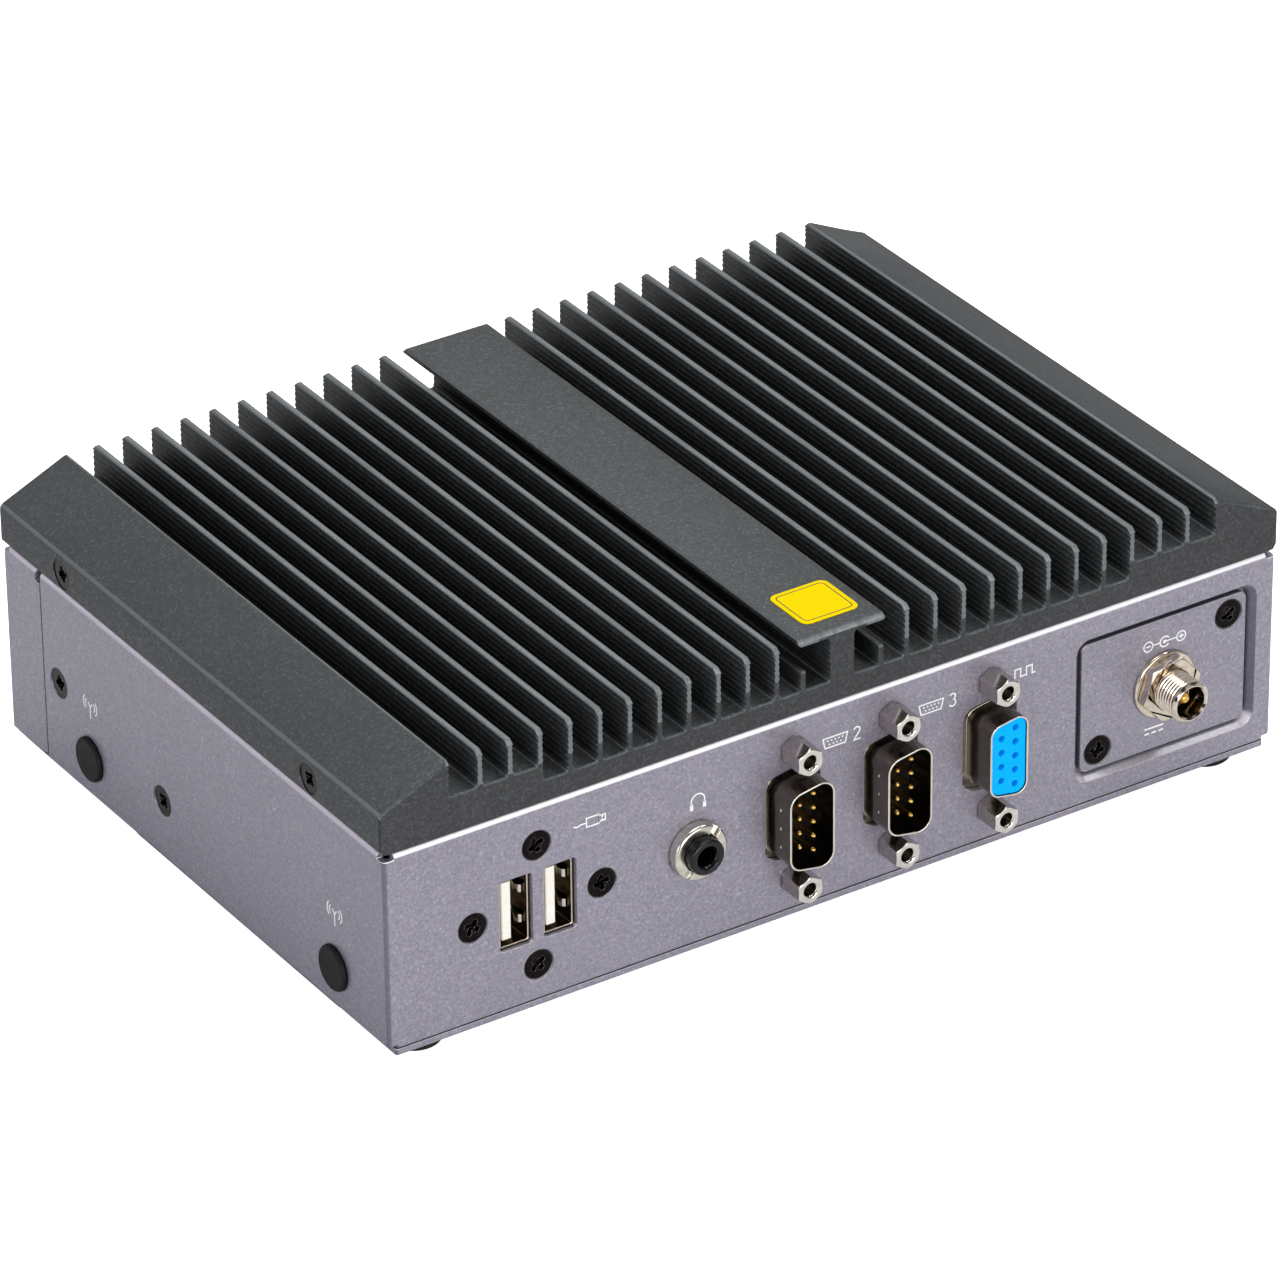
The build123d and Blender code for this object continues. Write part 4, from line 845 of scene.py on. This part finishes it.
def nine_way(b, fc, x, z):
    """Small outline of a nine-way connector with its contact dots."""
    ribbon(b, fc, [(x - 2.5, z + 0.95), (x + 2.5, z + 0.95), (x + 2.05, z - 0.95), (x - 2.05, z - 0.95)], 0.26, INK, loop=True)
    for k in range(5):
        disc(b, fc, x - 1.5 + 0.75 * k, z + 0.35, 0.17, INK, 10)
    for k in range(4):
        disc(b, fc, x - 1.12 + 0.75 * k, z - 0.35, 0.17, INK, 10)


def digit_two(b, fc, x, z, s=1.0):
    p = arc(x, z + 0.62 * s, 0.62 * s, 165, -35, 12) + [(x - 0.62 * s, z - 1.18 * s), (x + 0.72 * s, z - 1.18 * s)]
    ribbon(b, fc, p, 0.28, INK)


def digit_three(b, fc, x, z, s=1.0):
    ribbon(b, fc, arc(x, z + 0.62 * s, 0.58 * s, 155, -80, 12), 0.28, INK)
    ribbon(b, fc, arc(x, z - 0.58 * s, 0.66 * s, 82, -155, 12), 0.28, INK)


def square_wave(b, fc, x, z):
    ribbon(b, fc, [(x - 2.6, z - 0.8), (x - 1.5, z - 0.8), (x - 1.5, z + 0.8), (x - 0.3, z + 0.8), (x - 0.3, z - 0.8), (x + 0.9, z - 0.8), (x + 0.9, z + 0.8), (x + 2.1, z + 0.8), (x + 2.1, z - 0.8), (x + 2.8, z - 0.8)], 0.27, INK)


def polarity(b, fc, x, z):
    """Centre-positive polarity sign."""
    ribbon(b, fc, arc(x - 3.5, z, 0.95, 0, 345, 22), 0.24, INK, loop=True)
    ribbon(b, fc, [(x - 4.0, z), (x - 3.0, z)], 0.26, INK)
    ribbon(b, fc, [(x - 2.55, z), (x - 1.0, z)], 0.24, INK)
    ribbon(b, fc, arc(x, z, 1.0, 35, 325, 20), 0.26, INK)
    disc(b, fc, x, z, 0.36, INK, 14)
    ribbon(b, fc, [(x + 0.2, z), (x + 2.55, z)], 0.24, INK)
    ribbon(b, fc, arc(x + 3.5, z, 0.95, 0, 345, 22), 0.24, INK, loop=True)
    ribbon(b, fc, [(x + 3.0, z), (x + 4.0, z)], 0.26, INK)
    ribbon(b, fc, [(x + 3.5, z - 0.5), (x + 3.5, z - 0.14)], 0.26, INK)
    ribbon(b, fc, [(x + 3.5, z + 0.14), (x + 3.5, z + 0.5)], 0.26, INK)


def direct_current(b, fc, x, z):
    ribbon(b, fc, [(x - 2.0, z + 0.5), (x + 2.0, z + 0.5)], 0.32, INK)
    for k in (-1, 0, 1):
        ribbon(b, fc, [(x + 1.5 * k - 0.5, z - 0.5), (x + 1.5 * k + 0.5, z - 0.5)], 0.32, INK)


def aerial(b, fc, x, z, s=1.0):
    """Mast with a forked top between two pairs of waves."""
    ribbon(b, fc, [(x, z - 2.2 * s), (x, z + 0.1 * s)], 0.34, INK)
    ribbon(b, fc, [(x - 0.75 * s, z + 1.25 * s), (x, z + 0.25 * s), (x + 0.75 * s, z + 1.25 * s)], 0.3, INK)
    for q in (-1, 1):
        a = (130, 230) if q < 0 else (-50, 50)
        ribbon(b, fc, arc(x + q * 0.55, z + 0.75 * s, 1.15 * s, a[0], a[1], 10), 0.28, INK)
        ribbon(b, fc, arc(x + q * 0.55, z + 0.75 * s, 1.95 * s, a[0] + 4, a[1] - 4, 12), 0.28, INK)


ax = centre("audio_jack_body")[0]
sa, sb, dg = centre("serial_a_shell")[0], centre("serial_b_shell")[0], centre("digital_io_shell")[0]
icon("print_headphones", lambda b: headphones(b, front, ax + 0.7, 28.9))
icon("print_usb", lambda b: usb_plug(b, front, -51.0, 32.1))
icon("print_port_two", lambda b: (nine_way(b, front, sa + 8.6, 31.3), digit_two(b, front, sa + 13.0, 31.3)))
icon("print_port_three", lambda b: (nine_way(b, front, sb + 8.3, 31.3), digit_three(b, front, sb + 12.7, 31.3)))
icon("print_digital", lambda b: square_wave(b, front, dg + 6.6, 32.0))
plo, phi = mm("power_inlet_plate")
plate = Face((0, plo[1], 0), (1, 0, 0), (0, 0, 1))
icon("print_polarity", lambda b: polarity(b, plate, 67.5, 27.6))
icon("print_direct_current", lambda b: direct_current(b, plate, 65.6, 10.6))
for i, (y, z) in enumerate(((34.3, 19.5), (-46.4, 19.5))):
    icon("print_aerial_%d" % (i + 1), lambda b, y=y, z=z: aerial(b, left, -y, z, 0.9))

# label outline
llo, lhi = mm("surface_label")
top = Face((0, 0, lhi[2]), (1, 0, 0), (0, 1, 0))
lx, ly, lw = (llo[0] + lhi[0]) / 2, (llo[1] + lhi[1]) / 2, (lhi[0] - llo[0]) / 2 - 0.9


def rounded(cx, cy, hx, hy, r, n=6):
    out = []
    for sx, sy, a in ((1, 1, 0), (-1, 1, 90), (-1, -1, 180), (1, -1, 270)):
        out += arc(cx + sx * (hx - r), cy + sy * (hy - r), r, a, a + 90, n)
    return out


icon("label_outline", lambda b: ribbon(b, top, rounded(lx, ly, lw, lw - 0.1, 0.9), 0.2, 0.012, loop=True), "ink_black")

# ------------------------------------------------------------------ connector detail
# USB: gilt contacts on the tongue and four leaf springs in each shell
for side_name in ("usb_left", "usb_right"):
    slo, shi = mm(side_name + "_shell")
    tlo, thi = mm(side_name + "_tongue")
    cx, cz = (slo[0] + shi[0]) / 2, (slo[2] + shi[2]) / 2
    b = Build()
    fx = cx - 1.0 + 0.95
    for v in (-3.5, -1.0, 1.0, 3.5):
        fc = Face((fx, FY + 1.9, cz + v), (0, 1, 0), (0, 0, 1))
        block(b, fc, 0.0, 8.4, -0.5, 0.5, -0.05, 0.14, 0.05)
    add(side_name + "_contacts", b.v, b.f, M["gold"], smooth=30)
    b = Build()
    for s in (-1, 1):
        for v in (-2.9, 2.9):
            w = 0.72
            prof = [(7.05, 0.18), (5.4, -0.12), (4.0, -0.75), (3.2, -0.98), (2.5, -0.72), (2.15, -0.35)]
            if s < 0:
                prof = [(y, d * 0.7) for y, d in prof]
            th = 0.22
            rings = []
            for y, d in prof:
                x0 = cx + s * (2.95 - 0.18 + d)
                x1 = x0 - s * th
                rings.append([(x0, FY + y, cz + v - w), (x0, FY + y, cz + v + w), (x1, FY + y, cz + v + w), (x1, FY + y, cz + v - w)])
            if s > 0:
                rings = [list(reversed(r)) for r in rings]
            b.solid(rings)
    add(side_name + "_springs", b.v, b.f, M["nickel"], smooth=50)

# audio socket: spring sleeve rings inside the bore
alo, ahi = mm("audio_jack_body")
acx, acz = ax, 20.0
b = Build()
K = 36
for y0, y1, r in ((5.0, 6.2, 1.62), (8.4, 9.4, 1.62)):
    for part in range(3):
        rings = []
        for yy, ro, ri in ((y0, 1.80, 1.74), (y0 + 0.35, 1.80, r), (y1 - 0.35, 1.80, r), (y1, 1.80, 1.74)):
            pass
        a0, a1 = 120 * part + 12, 120 * part + 108
        seg = []
        for k in range(9):
            a = math.radians(a0 + (a1 - a0) * k / 8)
            ca, sa_ = math.cos(a), math.sin(a)
            seg.append([(acx + 1.79 * ca, FY + y0, acz + 1.79 * sa_), (acx + 1.79 * ca, FY + y1, acz + 1.79 * sa_),
                        (acx + (r + 0.06) * ca, FY + y1 - 0.1, acz + (r + 0.06) * sa_), (acx + r * ca, FY + (y0 + y1) / 2, acz + r * sa_), (acx + (r + 0.06) * ca, FY + y0 + 0.1, acz + (r + 0.06) * sa_)])
        b.solid(seg)
add("audio_contacts", b.v, b.f, M["nickel"], smooth=40)

# rear ports: contacts on the tongues and in the two network cavities
rt_lo, rt_hi = mm("rear_usb_tongues")
b = Build()
rux = (rt_lo[0] + rt_hi[0]) / 2
for v in (24.6 - 3.75 + 0.9, 24.6 + 3.75 + 0.9):
    fc = Face((rux, RY - 2.0, v - 0.95), (1, 0, 0), (0, -1, 0))
    for u in (-3.5, -1.0, 1.0, 3.5):
        block(b, fc, u - 0.5, u + 0.5, 0.0, 8.0, -0.05, 0.13, 0.05)
add("rear_usb_contacts", b.v, b.f, M["gold"], smooth=30)
nlo, nhi = mm("network_jack_pair")
b = Build()
for cxn in (30.0 - 8.0, 30.0 + 8.0):
    for k in range(8):
        x = cxn - 3.57 + 1.02 * k
        path = [(-1.6, 28.2), (-2.4, 27.6), (-6.5, 24.9), (-9.5, 23.9), (-11.9, 23.7)]
        rings = []
        for y, z in path:
            rings.append([(x - 0.2, RY + y, z - 0.16), (x + 0.2, RY + y, z - 0.16), (x + 0.2, RY + y, z + 0.16), (x - 0.2, RY + y, z + 0.16)])
        b.solid([list(reversed(r)) for r in rings])
add("network_contacts", b.v, b.f, M["gold"], smooth=40)
vlo, vhi = mm("video_port_tongue")
b = Build()
vcx, vcz = (vlo[0] + vhi[0]) / 2, (vlo[2] + vhi[2]) / 2
for s in (-1, 1):
    fc = Face((vcx, RY - 2.0, vcz + s * 0.65), (1, 0, 0) if s < 0 else (-1, 0, 0), (0, -1, 0))
    for k in range(9 if s > 0 else 10):
        u = -4.5 + (1.0 if s < 0 else 1.06) * k
        block(b, fc, u - 0.2, u + 0.2, 0.0, 6.0, -0.04, 0.1, 0.03)
add("video_contacts", b.v, b.f, M["gold"], smooth=30)
# power sign on the button
bc = centre("power_button")
pblo, pbhi = mm("power_button")
cap = Face((72.0, pbhi[1], 22.0), (-1, 0, 0), (0, 0, 1))
icon("power_sign", lambda b: (ribbon(b, cap, arc(0, 0, 1.7, 125, 415, 24), 0.36, 0.03), ribbon(b, cap, [(0, 0.4), (0, 2.2)], 0.36, 0.03)), "ink_white", "button")

# ------------------------------------------------------------------ stage, light, camera
flo = mm("rubber_feet")[0][2]


def emit_world():
    w = bpy.data.worlds.new("studio")
    bpy.context.scene.world = w
    w.use_nodes = True
    nt = w.node_tree
    nt.nodes.clear()
    out = nt.nodes.new("ShaderNodeOutputWorld")
    lp = nt.nodes.new("ShaderNodeLightPath")
    mixs = nt.nodes.new("ShaderNodeMixShader")
    cam_bg = nt.nodes.new("ShaderNodeBackground")
    cam_bg.inputs[0].default_value = (1, 1, 1, 1)
    cam_bg.inputs[1].default_value = 1.05
    soft = nt.nodes.new("ShaderNodeBackground")
    tcw = nt.nodes.new("ShaderNodeTexCoord")
    cards = nt.nodes.new("ShaderNodeTexNoise")
    cards.inputs["Scale"].default_value = 1.7
    cards.inputs["Detail"].default_value = 1.0
    nt.links.new(tcw.outputs["Generated"], cards.inputs["Vector"])
    level = nt.nodes.new("ShaderNodeMapRange")
    level.interpolation_type = "SMOOTHSTEP"
    for i_, x_ in enumerate((0.44, 0.58, 0.02, SHEEN)):
        level.inputs[i_ + 1].default_value = x_
    nt.links.new(cards.outputs["Fac"], level.inputs[0])
    amount = nt.nodes.new("ShaderNodeMix")
    amount.data_type = "FLOAT"
    amount.inputs[2].default_value = WORLD
    nt.links.new(level.outputs[0], amount.inputs[3])
    nt.links.new(lp.outputs["Is Glossy Ray"], amount.inputs[0])
    nt.links.new(amount.outputs[0], soft.inputs[1])
    tc = nt.nodes.new("ShaderNodeTexCoord")
    sep = nt.nodes.new("ShaderNodeSeparateXYZ")
    ramp = nt.nodes.new("ShaderNodeValToRGB")
    ramp.color_ramp.elements[0].position = 0.30
    ramp.color_ramp.elements[0].color = (0.62, 0.63, 0.66, 1)
    ramp.color_ramp.elements[1].position = 0.95
    ramp.color_ramp.elements[1].color = (1.0, 1.0, 1.0, 1)
    m = nt.nodes.new("ShaderNodeMapRange")
    m.inputs[1].default_value = -1
    m.inputs[2].default_value = 1
    nt.links.new(tc.outputs["Generated"], sep.inputs[0])
    nt.links.new(sep.outputs[2], m.inputs[0])
    nt.links.new(m.outputs[0], ramp.inputs[0])
    nt.links.new(ramp.outputs[0], soft.inputs[0])
    nt.links.new(lp.outputs["Is Camera Ray"], mixs.inputs[0])
    nt.links.new(soft.outputs[0], mixs.inputs[1])
    nt.links.new(cam_bg.outputs[0], mixs.inputs[2])
    nt.links.new(mixs.outputs[0], out.inputs[0])


WORLD = 0.03
SHEEN = 0.62
emit_world()


def floor():
    R_, n = 3000.0, 96
    v = [(0, 0, flo)] + [(R_ * math.cos(2 * math.pi * k / n), R_ * math.sin(2 * math.pi * k / n), flo) for k in range(n)]
    f = [(0, 1 + k, 1 + (k + 1) % n) for k in range(n)]
    me = bpy.data.meshes.new("floor")
    me.from_pydata([(x * MM, y * MM, z * MM) for x, y, z in v], [], f)
    o = bpy.data.objects.new("floor", me)
    bpy.context.scene.collection.objects.link(o)
    t = Tree("floor_mat")
    n1 = t.noise(6, 2, 0.5)
    t.set("Base Color", t.mix(n1, (0.86, 0.86, 0.87, 1), (0.9, 0.9, 0.9, 1)))
    t.set("Roughness", 0.7)
    lp = t.nt.nodes.new("ShaderNodeLightPath")
    t.set("Emission Color", (1, 1, 1, 1))
    t.set("Emission Strength", t.math("MULTIPLY", lp.outputs["Is Camera Ray"], 0.93))
    me.materials.append(t.mat)


floor()


def area(name, loc, target, size, power, color=(1, 1, 1)):
    l = bpy.data.lights.new(name, "AREA")
    l.shape = "RECTANGLE"
    l.size, l.size_y = size
    l.energy = power
    l.color = color
    o = bpy.data.objects.new(name, l)
    bpy.context.scene.collection.objects.link(o)
    o.location = loc
    d = Vector(target) - Vector(loc)
    o.rotation_euler = d.to_track_quat("-Z", "Y").to_euler()
    return o


area("overhead_key", (0.08, -0.08, 1.0), (0, 0, 0.04), (0.7, 0.5), 6.1)
area("rear_high", (0.42, 0.66, 0.88), (0, 0, 0.04), (0.9, 0.4), 3.4)
area("front_soft", (-0.05, -1.2, 0.30), (-0.02, 0, 0.03), (1.1, 0.5), 7.2, (1.0, 0.985, 0.985))
area("front_left", (-0.45, -1.2, 0.35), (-0.02, 0, 0.03), (0.6, 0.5), 3.1)
area("left_soft", (-1.2, -0.22, 0.24), (0, 0, 0.02), (1.0, 0.42), 3.5, (0.92, 0.965, 1.06))
area("bend_strip", (0.60, -0.28, 0.92), (0, 0, 0.04), (0.16, 0.2), 1.6)
area("rear_left_strip", (-0.80, 1.05, 0.55), (-0.05, 0, 0.04), (0.14, 0.7), 1.4)

R = ((0.8371613564907255, -0.5468694372309459, -0.009730458433037686), (-0.28195095080158133, -0.4162366003087009, -0.8644366685336407), (0.46868382150517307, 0.7264164860368765, -0.5026475547271109))
C = (-0.67490370955, -1.04606817161, 0.74400542587)
cam = bpy.data.cameras.new("camera")
cam.sensor_width = 36
cam.lens = 8283.367 * 36 / 1280
cam.clip_end = 20
co = bpy.data.objects.new("camera", cam)
bpy.context.scene.collection.objects.link(co)
co.matrix_world = Matrix(((R[0][0], -R[1][0], -R[2][0], C[0]), (R[0][1], -R[1][1], -R[2][1], C[1]), (R[0][2], -R[1][2], -R[2][2], C[2]), (0, 0, 0, 1)))
bpy.context.scene.camera = co
